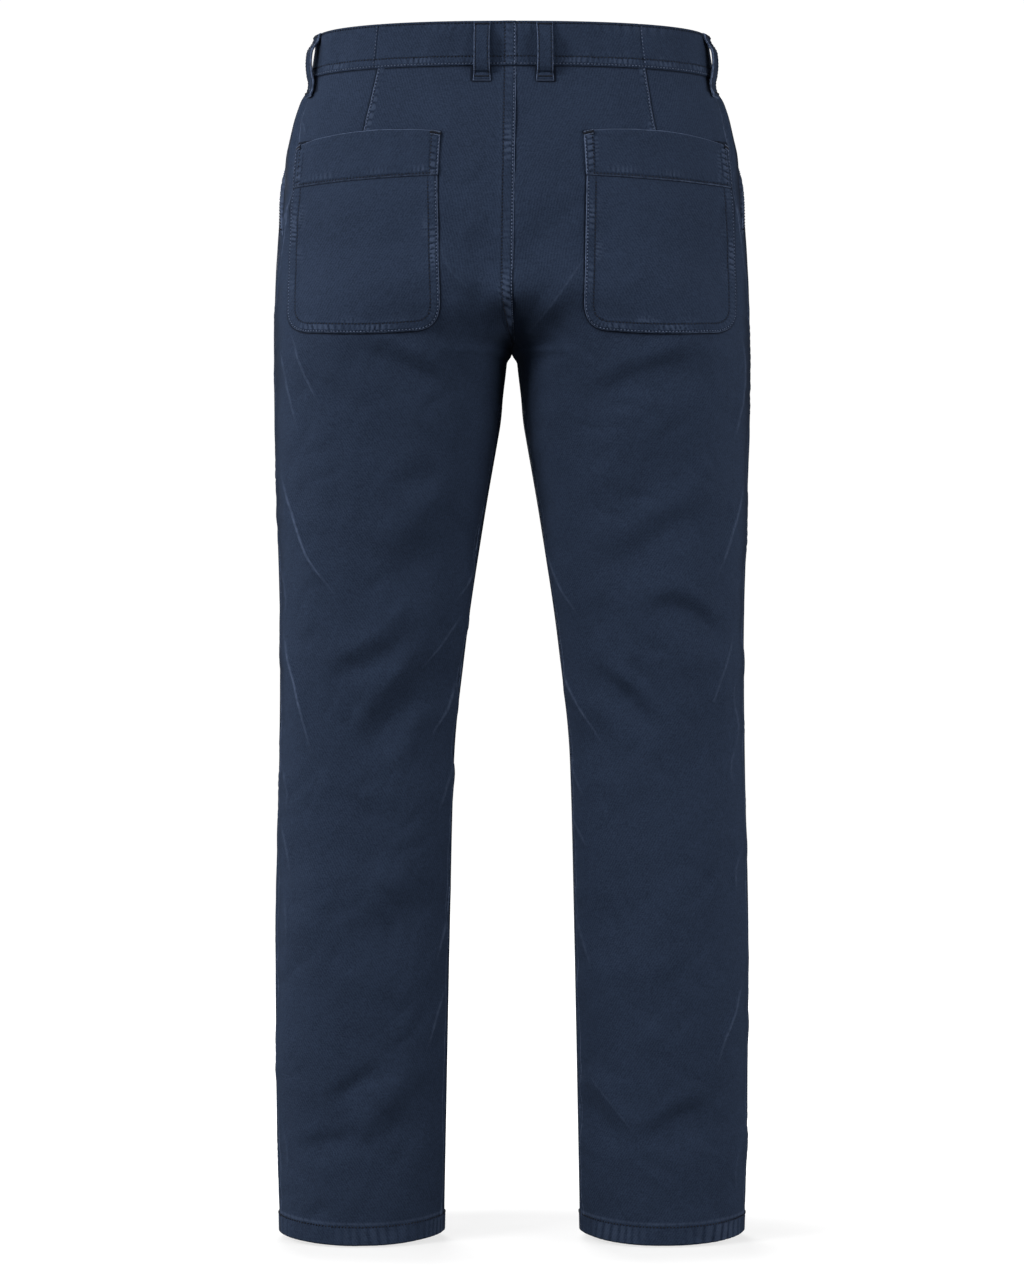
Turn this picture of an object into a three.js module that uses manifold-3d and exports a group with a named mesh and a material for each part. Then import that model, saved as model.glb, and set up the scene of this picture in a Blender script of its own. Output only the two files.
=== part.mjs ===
// Utility trousers, filled out as if worn, with nobody in them: back and front panels that each run
// from waist to hem, a waistband in four pieces, six belt loops, two banded patch pockets on the
// seat, slanted front pockets with their facings, a fly with its shield, and the waist button.
//
// Millimetres, +Z up. The front faces -Y and the wearer's left is +X. The origin is the centre of
// the waist opening, at the middle of the waistband's height.
import * as THREE from 'three';
import { mergeVertices } from 'three/addons/utils/BufferGeometryUtils.js';
import Module from 'manifold-3d';

const wasm = await Module();
wasm.setup();

// ---------------------------------------------------------------- driving dimensions

const GAP = 0.3;                 // clearance between two pieces at a seam
const BAND_TOP = 20;             // height of the waistband's upper edge
const BAND_SEAM = -20;           // height of the seam under the waistband
const FRONT_DIP = 18;            // how far the waist sits lower at the centre front
const DIP_END = -215;            // the dip has run out at this height
const BACK_FORK = -180;          // the seat starts to divide here
const FRONT_FORK = -200;         // the front starts to divide here
const CROTCH = -275;             // where the four leg seams meet
const INSEAM_SETTLED = -335;     // below this the inseam keeps its place on the leg
const LEG_GRID_TOP = -350;       // from here down the rows are evenly spaced
const HEM = -1090;               // bottom edge of the legs
const HEM_DEPTH = 20;            // height of the turned-up hem
const HEM_STEP = 0.4;            // height over which the wall steps to the doubled hem
const LEG_ROWS = 20;             // rows of faces between LEG_GRID_TOP and the hem's stitching

const CLOTH = 1.5;               // wall of a single panel, seam allowances included
const HEM_WALL = 2.8;            // wall where the hem is turned up
const BAND_PROUD = 0.9;          // how far the waistband stands out from the panels
const BAND_WALL = 2.8;           // doubled waistband with its interlining
const BAND_BACK_SEAM = 51.1;     // angle of the waistband's seams above the darts, degrees
const POCKET_WALL = 1.3;         // patch pockets, and the bands across their tops
const FACING_WALL = 1.2;         // facing behind a slanted pocket mouth, and the fly shield

const SEAT_ROUNDNESS = 2.3;      // exponent of the body's superellipse sections
const LEG_ROUNDNESS = 2.15;      // the same on the legs, where they are rounder
const ROUND_LEG_FROM = -430;
const SEAT_SEAM_LEAN = 4;        // the centre back seam starts this far to the wearer's right
const SEAT_SEAM_REACH = 60;      // width of cloth on each side that follows that lean

// Half sections of the garment, from waist to hem. outer and inner are the outseam's and the
// inseam's distance from the centre plane; back and front are depths behind and before it.
const SECTIONS = [
  { z: 20, outer: 180, inner: 0, back: 92, front: 92 },
  { z: -20, outer: 186.6, inner: 0, back: 97, front: 95 },
  { z: -60, outer: 200, inner: 0, back: 107, front: 98 },
  { z: -80, outer: 204.5, inner: 0, back: 112, front: 100 },
  { z: -115, outer: 211.6, inner: 0, back: 119, front: 103 },
  { z: -150, outer: 215.5, inner: 0, back: 124, front: 105 },
  { z: -215, outer: 219.2, inner: 0, back: 127, front: 107 },
  { z: -275, outer: 220.3, inner: 0, back: 119, front: 104 },
  { z: -320, outer: 220.2, inner: 7.4, back: 108, front: 100 },
  { z: -430, outer: 217.6, inner: 26.4, back: 92, front: 90 },
  { z: -540, outer: 214.9, inner: 42.6, back: 78, front: 78 },
  { z: -650, outer: 216, inner: 53.7, back: 67, front: 70 },
  { z: -820, outer: 219.4, inner: 57.9, back: 66, front: 60 },
  { z: -985, outer: 218, inner: 61.1, back: 62, front: 56 },
  { z: -1090, outer: 215.2, inner: 63, back: 60, front: 54 },
];

// Where the side seam lies, in degrees towards the back from the widest point of the section.
const OUTSEAM = [
  { z: 20, angle: 12.5 },
  { z: -20, angle: 12.5 },
  { z: -54, angle: 14.5 },
  { z: -95, angle: 18 },
  { z: -130, angle: 19 },
  { z: -170, angle: 15 },
  { z: -215, angle: 12 },
  { z: -1090, angle: 12 },
];
const INSEAM_SWING = 12;         // the inseam ends this many degrees behind the innermost point

// Columns of faces across the panels, as angles round the waist. The belt loops' edges, the side
// seam and the waistband's back seam each have a column of their own.
const BACK_COLUMNS = [12.5, 19, 26.5, 34.5, 43, BAND_BACK_SEAM, 58.5, 66, 73.5, 80.5, 86, 90];
const FRONT_COLUMNS = [12.5, 7.5, -2, -12, -22.5, -33, -43, -52, -60.2, -68.5, -76, -83.5, -90];

const TORSO_ROWS = [-40, -60, -82, -104, -127, -150, -172, -190, -207, -222, -236, -248, -258,
  -266, -272];
const THIGH_ROWS = [-284, -300, -320];

// The largest folds. Each runs from one point to the other across the back or front of one side,
// given as distance from the centre plane and height. A negative depth is a trough.
const FOLDS = [
  { side: 1, face: 'back', x0: 36, z0: -492, x1: 150, z1: -655, width: 34, depth: -3.5 },
  { side: 1, face: 'back', x0: 122, z0: -930, x1: 168, z1: -972, width: 30, depth: -2.5 },
  { side: 1, face: 'back', x0: 205, z0: -380, x1: 165, z1: -480, width: 26, depth: 2.5 },
  { side: 1, face: 'back', x0: 55, z0: -660, x1: 82, z1: -705, width: 26, depth: 2 },
  { side: -1, face: 'back', x0: 60, z0: -560, x1: 122, z1: -625, width: 32, depth: -3.5 },
  { side: -1, face: 'back', x0: 62, z0: -935, x1: 116, z1: -1010, width: 30, depth: -2.5 },
  { side: -1, face: 'back', x0: 208, z0: -400, x1: 182, z1: -490, width: 26, depth: 2.5 },
  { side: -1, face: 'back', x0: 205, z0: -840, x1: 190, z1: -880, width: 26, depth: 2 },
  { side: 1, face: 'front', x0: 62, z0: -520, x1: 150, z1: -600, width: 34, depth: -3 },
  { side: 1, face: 'front', x0: 190, z0: -640, x1: 110, z1: -690, width: 30, depth: -2.5 },
  { side: 1, face: 'front', x0: 30, z0: -300, x1: 130, z1: -250, width: 28, depth: -2.5 },
  { side: -1, face: 'front', x0: 66, z0: -535, x1: 140, z1: -622, width: 34, depth: -3 },
  { side: -1, face: 'front', x0: 186, z0: -655, x1: 120, z1: -700, width: 30, depth: -2.5 },
  { side: -1, face: 'front', x0: 32, z0: -305, x1: 120, z1: -248, width: 28, depth: -2.5 },
];

// Patch pocket on one side of the seat: distances from the centre plane, and heights.
const POCKET = {
  innerTop: 67.5, innerBottom: 64.5, outerTop: 194, outerBottom: 203,
  top: -86, bottom: -262, bottomBow: 4, corner: 26,
};
const POCKET_BAND = {
  innerTop: 64, innerBottom: 66, outerTop: 195, outerBottom: 198,
  topInner: -83, topMiddle: -81.5, topOuter: -88, bottomInner: -122.5, bottomOuter: -126.5,
};

// Slanted front pocket mouth: where it starts at the waist seam and ends at the side seam, as
// shares of the front panel's width, and how far the facing runs on under it. shareRun is the
// share that a millimetre of underlap adds, and depthRun how much lower it ends.
const MOUTH = {
  waistShare: 0.42, sideShare: 0.01, end: -168, underlap: 26, steps: 8,
  shareRun: 1 / 250, depthRun: 0.6,
};

const LOOP_WIDTH = 16;
const LOOP_THICK = 2;
const LOOP_ARCH = 7.4;           // room for a belt under a loop
const LOOP_LENGTH_BELOW = 17;    // how far a loop runs below the waistband's seam
// Belt loops: the column on each side of a loop, in degrees round the waist, towards the back.
const LOOPS = [
  { name: 'belt_loop_back', from: 80.5, to: 86, arch: LOOP_ARCH },
  { name: 'belt_loop_side', from: 7.5, to: 19, arch: LOOP_ARCH + 1.2 },
  { name: 'belt_loop_front', from: -68.5, to: -60.2, arch: LOOP_ARCH + 0.6 },
];

const FLY_LENGTH = 165;          // the fly opens this far below the waistband's seam
const UNDERLAP = 38;             // the right waistband and fly shield run this far under the left
const SHIELD_RETURN = 9;         // width of the shield on the right of the centre front
const LAP_START = -27;           // where the right waistband starts to step inwards
const LAP_END = -6;              // where it lies fully under the left one
const BUTTON_X = 13;
const BUTTON_RADIUS = 8.5;
const BUTTON_THICK = 3.2;

const NAVY = 0x2d384b;
const BUTTON_COLOUR = 0x20242c;

// ---------------------------------------------------------------- the garment's form

const radians = THREE.MathUtils.degToRad;
const clamp = THREE.MathUtils.clamp;

function smooth(t) {
  const s = clamp(t, 0, 1);
  return s * s * (3 - 2 * s);
}

// Monotone cubic through one column of a table whose rows go down in z.
function column(table, key, z) {
  const last = table.length - 1;
  if (z >= table[0].z) return table[0][key];
  if (z <= table[last].z) return table[last][key];
  let row = 0;
  while (table[row + 1].z > z) row += 1;
  const slope = (k) => (table[k + 1][key] - table[k][key]) / (table[k + 1].z - table[k].z);
  const tangent = (k) => {
    if (k === 0) return slope(0);
    if (k === last) return slope(last - 1);
    const before = slope(k - 1);
    const after = slope(k);
    if (before * after <= 0) return 0;
    return (2 * before * after) / (before + after);
  };
  const step = table[row + 1].z - table[row].z;
  const t = (z - table[row].z) / step;
  const start = table[row][key];
  const end = table[row + 1][key];
  return (2 * t ** 3 - 3 * t ** 2 + 1) * start + (t ** 3 - 2 * t ** 2 + t) * step * tangent(row)
    + (3 * t ** 2 - 2 * t ** 3) * end + (t ** 3 - t ** 2) * step * tangent(row + 1);
}

// How far the section has divided into two legs: 0 is whole, 1 is two closed tubes.
function fork(z, start) {
  return smooth((start - z) / (start - CROTCH));
}

function roundness(z) {
  const t = smooth((CROTCH - z) / (CROTCH - ROUND_LEG_FROM));
  return SEAT_ROUNDNESS + (LEG_ROUNDNESS - SEAT_ROUNDNESS) * t;
}

function foldDepth(side, face, x, z) {
  let depth = 0;
  for (const fold of FOLDS) {
    if (fold.side === side && fold.face === face) {
      const run = new THREE.Vector2(fold.x1 - fold.x0, fold.z1 - fold.z0);
      const to = new THREE.Vector2(x - fold.x0, z - fold.z0);
      const along = to.dot(run) / run.lengthSq();
      const across = Math.abs(to.cross(run)) / run.length();
      const body = smooth((along + 0.15) / 0.4) * smooth((1.15 - along) / 0.4);
      depth += fold.depth * body * Math.exp(-((across / fold.width) ** 2) * 2);
    }
  }
  return depth;
}

// A point of the outer surface on one side (1 is the wearer's left), at an angle round the section
// from the outseam (0) by the back (90) to the inside of the leg (180), or by the front (-90).
function formPoint(side, angle, z) {
  const a = radians(angle);
  const sine = Math.sin(a);
  const cosine = Math.cos(a);
  const atBack = sine >= 0;
  const power = 2 / roundness(z);
  const outer = column(SECTIONS, 'outer', z);
  let centre = (outer + column(SECTIONS, 'inner', z)) / 2;
  if (z > CROTCH) {
    const divided = fork(z, atBack ? BACK_FORK : FRONT_FORK);
    centre = (outer * divided) / (1 + divided);
  }
  const reach = outer - centre;
  const depth = atBack ? column(SECTIONS, 'back', z) : -column(SECTIONS, 'front', z);
  let x = centre + reach * Math.sign(cosine) * Math.abs(cosine) ** power;
  const swell = Math.abs(sine) ** power;
  const y = depth * swell + Math.sign(sine) * swell * foldDepth(side, atBack ? 'back' : 'front', x, z);
  const frontness = Math.max(0, -sine) ** 2;
  const dip = FRONT_DIP * frontness * (1 - smooth((BAND_SEAM - z) / (BAND_SEAM - DIP_END)));
  x = Math.max(x, GAP / 2);
  let lean = 0;
  if (atBack && z > CROTCH) {
    const nearness = Math.max(0, 1 - x / SEAT_SEAM_REACH) ** 2;
    lean = SEAT_SEAM_LEAN * nearness * clamp((z - CROTCH) / (BAND_SEAM - CROTCH), 0, 1);
  }
  return new THREE.Vector3(side * x - lean, y, z - dip);
}

const STEP_ANGLE = 1;
const STEP_HEIGHT = 1.5;

// Outward normal of the form. A level one leans neither up nor down.
function formNormal(side, angle, z, level) {
  const round = formPoint(side, angle + STEP_ANGLE, z).sub(formPoint(side, angle - STEP_ANGLE, z));
  const up = formPoint(side, angle, z + STEP_HEIGHT).sub(formPoint(side, angle, z - STEP_HEIGHT));
  if (level) up.set(0, 0, 1);
  const normal = round.cross(up).multiplyScalar(side);
  if (level) normal.z = 0;
  return normal.normalize();
}

// The centre back or centre front, or the inseam below the crotch, as an angle of the section.
function innerAngle(z, face) {
  const start = face === 'back' ? BACK_FORK : FRONT_FORK;
  const towards = face === 'back' ? 1 : -1;
  if (z > CROTCH) {
    const divided = fork(z, start);
    const angle = Math.acos(-(divided ** (roundness(z) / 2)));
    return towards * THREE.MathUtils.radToDeg(angle);
  }
  const swing = INSEAM_SWING * smooth((CROTCH - z) / (CROTCH - INSEAM_SETTLED));
  return face === 'back' ? 180 - swing : -180 - swing;
}

// The angle that moves a point along the section by half a seam gap.
function halfGapAngle(side, angle, z) {
  const near = formPoint(side, angle, z);
  const far = formPoint(side, angle + STEP_ANGLE, z);
  return (STEP_ANGLE * GAP) / 2 / near.distanceTo(far);
}

// The angle of a panel's column at a height. share is 0 at the outseam and 1 at the other edge.
function panelAngle(side, face, share, z) {
  const towards = face === 'back' ? 1 : -1;
  const outseam = column(OUTSEAM, 'angle', z);
  const first = outseam + towards * halfGapAngle(side, outseam, z);
  const inner = innerAngle(z, face);
  const last = z > CROTCH ? inner : inner - towards * halfGapAngle(side, inner - towards, z);
  return first + (last - first) * share;
}

// ---------------------------------------------------------------- walls

// A closed wall through a grid of places, each a point with its outward normal. out and into give
// how far the wall reaches to either side of the grid at a row. Each cell is split along its
// shorter diagonal.
function wall(grid, out, into, flip) {
  const rows = grid.length;
  const columns = grid[0].length;
  const positions = [];
  for (const offset of [out, (row) => -into(row)]) {
    grid.forEach((line, row) => {
      for (const { point, normal } of line) {
        positions.push(...point.clone().addScaledVector(normal, offset(row)).toArray());
      }
    });
  }
  const index = [];
  const outside = (row, col) => row * columns + col;
  const inside = (row, col) => rows * columns + outside(row, col);
  const quad = (a, b, c, d) => {
    if (flip) index.push(a, c, b, a, d, c);
    else index.push(a, b, c, a, c, d);
  };
  const span = (r0, c0, r1, c1) => grid[r0][c0].point.distanceTo(grid[r1][c1].point);
  for (let r = 0; r < rows - 1; r += 1) {
    for (let c = 0; c < columns - 1; c += 1) {
      const out4 = [outside(r, c), outside(r + 1, c), outside(r + 1, c + 1), outside(r, c + 1)];
      const in4 = [inside(r, c), inside(r, c + 1), inside(r + 1, c + 1), inside(r + 1, c)];
      if (span(r + 1, c, r, c + 1) < span(r, c, r + 1, c + 1)) {
        out4.push(out4.shift());
        in4.push(in4.shift());
      }
      quad(...out4);
      quad(...in4);
    }
    quad(outside(r, 0), inside(r, 0), inside(r + 1, 0), outside(r + 1, 0));
    const end = columns - 1;
    quad(outside(r, end), outside(r + 1, end), inside(r + 1, end), inside(r, end));
  }
  for (let c = 0; c < columns - 1; c += 1) {
    const end = rows - 1;
    quad(outside(0, c), outside(0, c + 1), inside(0, c + 1), inside(0, c));
    quad(outside(end, c), inside(end, c), inside(end, c + 1), outside(end, c + 1));
  }
  const geometry = new THREE.BufferGeometry();
  geometry.setAttribute('position', new THREE.Float32BufferAttribute(positions, 3));
  geometry.setIndex(index);
  return geometry;
}

function panelRows() {
  const rows = [BAND_SEAM - GAP / 2, ...TORSO_ROWS, CROTCH, ...THIGH_ROWS];
  const legEnd = HEM + HEM_DEPTH;
  for (let k = 0; k <= LEG_ROWS; k += 1) {
    rows.push(LEG_GRID_TOP + ((legEnd - LEG_GRID_TOP) * k) / LEG_ROWS);
  }
  rows.push(legEnd - HEM_STEP, HEM);
  return rows;
}

const ROWS = panelRows();

function panelGrid(side, face, rows) {
  const columns = face === 'back' ? BACK_COLUMNS : FRONT_COLUMNS;
  const first = columns[0];
  const last = columns[columns.length - 1];
  return rows.map((z) => columns.map((angle) => {
    const at = panelAngle(side, face, (angle - first) / (last - first), z);
    return { point: formPoint(side, at, z), normal: formNormal(side, at, z, false) };
  }));
}

// A layer of the panel's shape, between two distances from its outer surface.
function panelLayer(side, face, rows, out, into) {
  const flip = (side > 0) !== (face === 'back');
  return wall(panelGrid(side, face, rows), () => out, () => into, flip);
}

function panel(side, face) {
  const flip = (side > 0) !== (face === 'back');
  const thickness = (row) => (ROWS[row] < HEM + HEM_DEPTH ? HEM_WALL : CLOTH);
  return wall(panelGrid(side, face, ROWS), () => 0, thickness, flip);
}

// ---------------------------------------------------------------- cutting and joining

function solid(geometry) {
  const bare = new THREE.BufferGeometry();
  bare.setAttribute('position', geometry.getAttribute('position').clone());
  if (geometry.index) bare.setIndex(geometry.index.clone());
  const merged = mergeVertices(bare, 1e-5);
  return new wasm.Manifold(new wasm.Mesh({
    numProp: 3,
    vertProperties: new Float32Array(merged.getAttribute('position').array),
    triVerts: new Uint32Array(merged.index.array),
  }));
}

function geometryOf(shape) {
  const mesh = shape.getMesh();
  const geometry = new THREE.BufferGeometry();
  geometry.setAttribute('position', new THREE.BufferAttribute(new Float32Array(mesh.vertProperties), 3));
  geometry.setIndex(new THREE.BufferAttribute(new Uint32Array(mesh.triVerts), 1));
  return geometry;
}

// An outline drawn on one side in x and z, pushed through the cloth of the back.
function throughBack(outline, side) {
  const reach = 160;
  const block = new THREE.ExtrudeGeometry(outline, { depth: reach, bevelEnabled: false, curveSegments: 5 });
  const turned = new THREE.Matrix4().set(
    1, 0, 0, 0,
    0, 0, -1, reach,
    0, 1, 0, 0,
    0, 0, 0, 1,
  );
  block.applyMatrix4(turned);
  if (side > 0) return solid(block);
  return solid(block).mirror([1, 0, 0]);
}

// ---------------------------------------------------------------- patch pockets

function pocketOutline() {
  const p = POCKET;
  const middle = (p.innerBottom + p.outerBottom) / 2;
  const shape = new THREE.Shape();
  shape.moveTo(p.innerTop, p.top);
  shape.lineTo(p.innerBottom, p.bottom + p.corner);
  shape.quadraticCurveTo(p.innerBottom, p.bottom, p.innerBottom + p.corner, p.bottom);
  shape.quadraticCurveTo(middle, p.bottom - p.bottomBow, p.outerBottom - p.corner, p.bottom);
  shape.quadraticCurveTo(p.outerBottom, p.bottom, p.outerBottom, p.bottom + p.corner);
  shape.quadraticCurveTo(p.outerBottom, p.top - p.corner * 2, p.outerTop, p.top);
  shape.closePath();
  return shape;
}

function pocketBandOutline() {
  const p = POCKET_BAND;
  const shape = new THREE.Shape();
  shape.moveTo(p.innerTop, p.topInner);
  shape.lineTo(p.innerBottom, p.bottomInner);
  shape.lineTo(p.outerBottom, p.bottomOuter);
  shape.lineTo(p.outerTop, p.topOuter);
  shape.lineTo((p.innerTop + p.outerTop) / 2, p.topMiddle);
  shape.closePath();
  return shape;
}

const POCKET_ROWS = ROWS.filter((z) => z < -55 && z > -300);

function pocket(side) {
  const layer = solid(panelLayer(side, 'back', POCKET_ROWS, GAP + POCKET_WALL, -GAP));
  return geometryOf(layer.intersect(throughBack(pocketOutline(), side)));
}

function pocketBand(side) {
  const under = GAP + POCKET_WALL + GAP;
  const layer = solid(panelLayer(side, 'back', POCKET_ROWS, under + POCKET_WALL, -under));
  return geometryOf(layer.intersect(throughBack(pocketBandOutline(), side)));
}

// ---------------------------------------------------------------- front pockets and fly

const MOUTH_ROWS = ROWS.filter((z) => z > -224);

// A thick block over the corner that a slanted mouth takes off a front panel. It follows the
// cloth's form, and underlap moves its slanted edge further across the panel.
function mouthCorner(side, underlap) {
  const margin = 6;
  const pastSeam = -0.08;
  const top = BAND_SEAM + margin;
  const grid = [];
  for (let k = 0; k <= MOUTH.steps; k += 1) {
    const t = k / MOUTH.steps;
    const z = top + (MOUTH.end - underlap * MOUTH.depthRun - top) * t;
    const slant = MOUTH.waistShare * (1 - t) + MOUTH.sideShare * t + underlap * MOUTH.shareRun;
    const line = [];
    for (let c = 0; c <= MOUTH.steps; c += 1) {
      const share = slant + ((pastSeam - slant) * c) / MOUTH.steps;
      const angle = panelAngle(side, 'front', share, z);
      line.push({ point: formPoint(side, angle, z), normal: formNormal(side, angle, z, true) });
    }
    grid.push(line.reverse());
  }
  return solid(wall(grid, () => margin, () => margin, side > 0));
}

function frontPanel(side) {
  return geometryOf(solid(panel(side, 'front')).subtract(mouthCorner(side, 0)));
}

function facing(side) {
  const under = CLOTH + GAP;
  const layer = solid(panelLayer(side, 'front', MOUTH_ROWS, -under, under + FACING_WALL));
  return geometryOf(layer.intersect(mouthCorner(side, MOUTH.underlap)));
}

// A strip behind the fly, fixed on the right and running under the left.
function flyShield() {
  const under = CLOTH + GAP * 1.5;
  const columns = [-SHIELD_RETURN, 0, 12, 25, UNDERLAP];
  const rows = [...ROWS.filter((z) => z > BAND_SEAM - FLY_LENGTH), BAND_SEAM - FLY_LENGTH];
  const grid = rows.map((z) => columns.map((x) => {
    const side = x < 0 ? -1 : 1;
    const angle = angleAtX(Math.max(Math.abs(x), 1), z);
    return { point: formPoint(side, angle, z), normal: formNormal(side, angle, z, true) };
  }));
  grid.forEach((line) => line.forEach((place, c) => {
    place.point.x = columns[c];
  }));
  return wall(grid, () => -under, () => under + FACING_WALL, false);
}

// The angle on the front of the waist at a distance from the centre plane.
function angleAtX(x, z) {
  const outer = column(SECTIONS, 'outer', z);
  const cosine = (x / outer) ** (roundness(z) / 2);
  return -THREE.MathUtils.radToDeg(Math.acos(cosine));
}

// ---------------------------------------------------------------- waistband

function bandPlace(side, angle, z, inset) {
  const normal = formNormal(side, angle, z, true);
  return { point: formPoint(side, angle, z).addScaledVector(normal, -inset), normal };
}

function bandWall(lines, flip) {
  return wall(lines, () => BAND_PROUD, () => BAND_WALL - BAND_PROUD, flip);
}

const BAND_ROWS = [BAND_TOP, 0, BAND_SEAM + GAP / 2];

function backBand(side) {
  const angles = BACK_COLUMNS.filter((angle) => angle >= BAND_BACK_SEAM);
  const edge = halfGapAngle(side, BAND_BACK_SEAM, 0);
  angles[0] += edge;
  return bandWall(BAND_ROWS.map((z) => angles.map((a) => bandPlace(side, a, z, 0))), side < 0);
}

// From the seam above a dart, round the side, to the front edge.
function sideAngles(side) {
  const angles = BACK_COLUMNS.filter((angle) => angle <= BAND_BACK_SEAM).reverse();
  angles[0] -= halfGapAngle(side, BAND_BACK_SEAM, 0);
  return [...angles, ...FRONT_COLUMNS.slice(1, -1)];
}

function leftBand() {
  const lap = -2;
  return bandWall(BAND_ROWS.map((z) => {
    const line = sideAngles(1).map((a) => bandPlace(1, a, z, 0));
    const end = bandPlace(1, -90, z, 0);
    end.point.x = lap;
    return [...line, end];
  }), true);
}

function rightBand() {
  const inset = BAND_WALL + GAP;
  const lapColumns = [LAP_END, 8, 22, UNDERLAP];
  return bandWall(BAND_ROWS.map((z) => {
    const whole = sideAngles(-1).map((a) => bandPlace(-1, a, z, 0));
    const line = whole.filter(({ point }) => point.x < LAP_START - 4 || point.y > 0);
    const start = bandPlace(-1, angleAtX(-LAP_START, z), z, 0);
    const lap = lapColumns.map((x) => {
      const at = bandPlace(x < 0 ? -1 : 1, angleAtX(Math.abs(x), z), z, inset);
      at.point.x = x;
      return at;
    });
    return [...line, start, ...lap];
  }), false);
}

// ---------------------------------------------------------------- belt loops

// How far the garment reaches along a direction, over the stretch of cloth that a loop spans.
function reachAlong(side, loop, z, origin, direction) {
  const samples = 6;
  const proud = z > BAND_SEAM ? BAND_PROUD : 0;
  let reach = -Infinity;
  for (let k = 0; k <= samples; k += 1) {
    const angle = loop.from + ((loop.to - loop.from) * k) / samples;
    const place = bandPlace(side, angle, z, -proud);
    reach = Math.max(reach, place.point.sub(origin).dot(direction));
  }
  return reach;
}

// The same below the waistband, where the panel's faces run straight from row to row.
function panelReach(side, loop, z, origin, direction) {
  let row = 0;
  while (ROWS[row + 1] > z) row += 1;
  const above = reachAlong(side, loop, ROWS[row], origin, direction);
  const below = reachAlong(side, loop, ROWS[row + 1], origin, direction);
  return above + ((below - above) * (ROWS[row] - z)) / (ROWS[row] - ROWS[row + 1]);
}

function beltLoop(side, loop) {
  const from = bandPlace(side, loop.from, 0, 0).point;
  const to = bandPlace(side, loop.to, 0, 0).point;
  const origin = from.clone().add(to).multiplyScalar(0.5);
  const along = to.clone().sub(from).setZ(0).normalize();
  const out = new THREE.Vector3(along.y, -along.x, 0).multiplyScalar(side);
  const rest = GAP + LOOP_THICK / 2;
  const bottom = BAND_SEAM - LOOP_LENGTH_BELOW;
  // the strap's middle line: height, and distance from the cloth beneath it
  const line = [
    [BAND_TOP + 1, rest], [BAND_TOP - 3, rest + 0.2], [BAND_TOP - 8, loop.arch * 0.8],
    [BAND_TOP - 14, loop.arch + rest], [0, loop.arch + rest + 0.6], [-10, loop.arch + rest + 0.2],
    [BAND_SEAM, loop.arch], [BAND_SEAM - 5.5, loop.arch * 0.42], [bottom + 7, rest], [bottom, rest],
  ].map(([z, off]) => {
    const reach = z < BAND_SEAM ? panelReach : reachAlong;
    return new THREE.Vector2(reach(side, loop, z, origin, out) + off, z);
  });
  const strip = (offset) => line.map((at, k) => {
    const before = line[Math.max(k - 1, 0)];
    const after = line[Math.min(k + 1, line.length - 1)];
    const run = after.clone().sub(before).normalize();
    return new THREE.Vector2(at.x - run.y * offset, at.y + run.x * offset);
  });
  const shape = new THREE.Shape([...strip(LOOP_THICK / 2), ...strip(-LOOP_THICK / 2).reverse()]);
  const strap = new THREE.ExtrudeGeometry(shape, { depth: LOOP_WIDTH, bevelEnabled: false });
  const up = new THREE.Vector3(0, 0, 1);
  const across = out.clone().cross(up);
  const place = new THREE.Matrix4().makeBasis(out, up, across);
  const start = origin.clone().addScaledVector(across, -LOOP_WIDTH / 2);
  place.setPosition(start);
  strap.applyMatrix4(place);
  return geometryOf(solid(strap));
}

// ---------------------------------------------------------------- waist button

// A four-hole button with a raised rim, turned as one profile and drilled.
function waistButton() {
  const rim = 1.6;
  const dish = 1;
  const chamfer = 0.5;
  const r = BUTTON_RADIUS;
  const t = BUTTON_THICK;
  const profile = [
    [0, 0], [r - chamfer, 0], [r, chamfer], [r, t - chamfer], [r - chamfer, t], [r - rim, t],
    [r - rim - chamfer, t - dish], [0, t - dish],
  ].map(([x, y]) => new THREE.Vector2(x, y));
  let body = solid(new THREE.LatheGeometry(profile, 18));
  const holeRadius = 0.9;
  const holeOffset = 1.7;
  for (const [sx, sy] of [[1, 1], [1, -1], [-1, 1], [-1, -1]]) {
    const drill = new THREE.CylinderGeometry(holeRadius, holeRadius, t * 3, 6);
    drill.translate(sx * holeOffset, 0, sy * holeOffset);
    body = body.subtract(solid(drill));
  }
  const geometry = geometryOf(body);
  const angle = angleAtX(BUTTON_X, 0);
  const seat = bandPlace(1, angle, 0, -(BAND_PROUD + GAP + 0.1));
  const out = formNormal(1, angle, 0, false);
  const across = out.clone().cross(new THREE.Vector3(0, 0, 1)).normalize();
  const place = new THREE.Matrix4().makeBasis(across, out, across.clone().cross(out));
  place.setPosition(seat.point);
  geometry.applyMatrix4(place);
  return geometry;
}

// ---------------------------------------------------------------- the garment

const trousers = new THREE.Group();

function add(name, geometry, colour, roughness) {
  const material = new THREE.MeshStandardMaterial({ color: colour, roughness, metalness: 0 });
  const mesh = new THREE.Mesh(geometry, material);
  mesh.name = name;
  trousers.add(mesh);
}

const CLOTH_ROUGHNESS = 0.92;
const SIDES = [{ name: 'left', sign: 1 }, { name: 'right', sign: -1 }];

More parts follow.
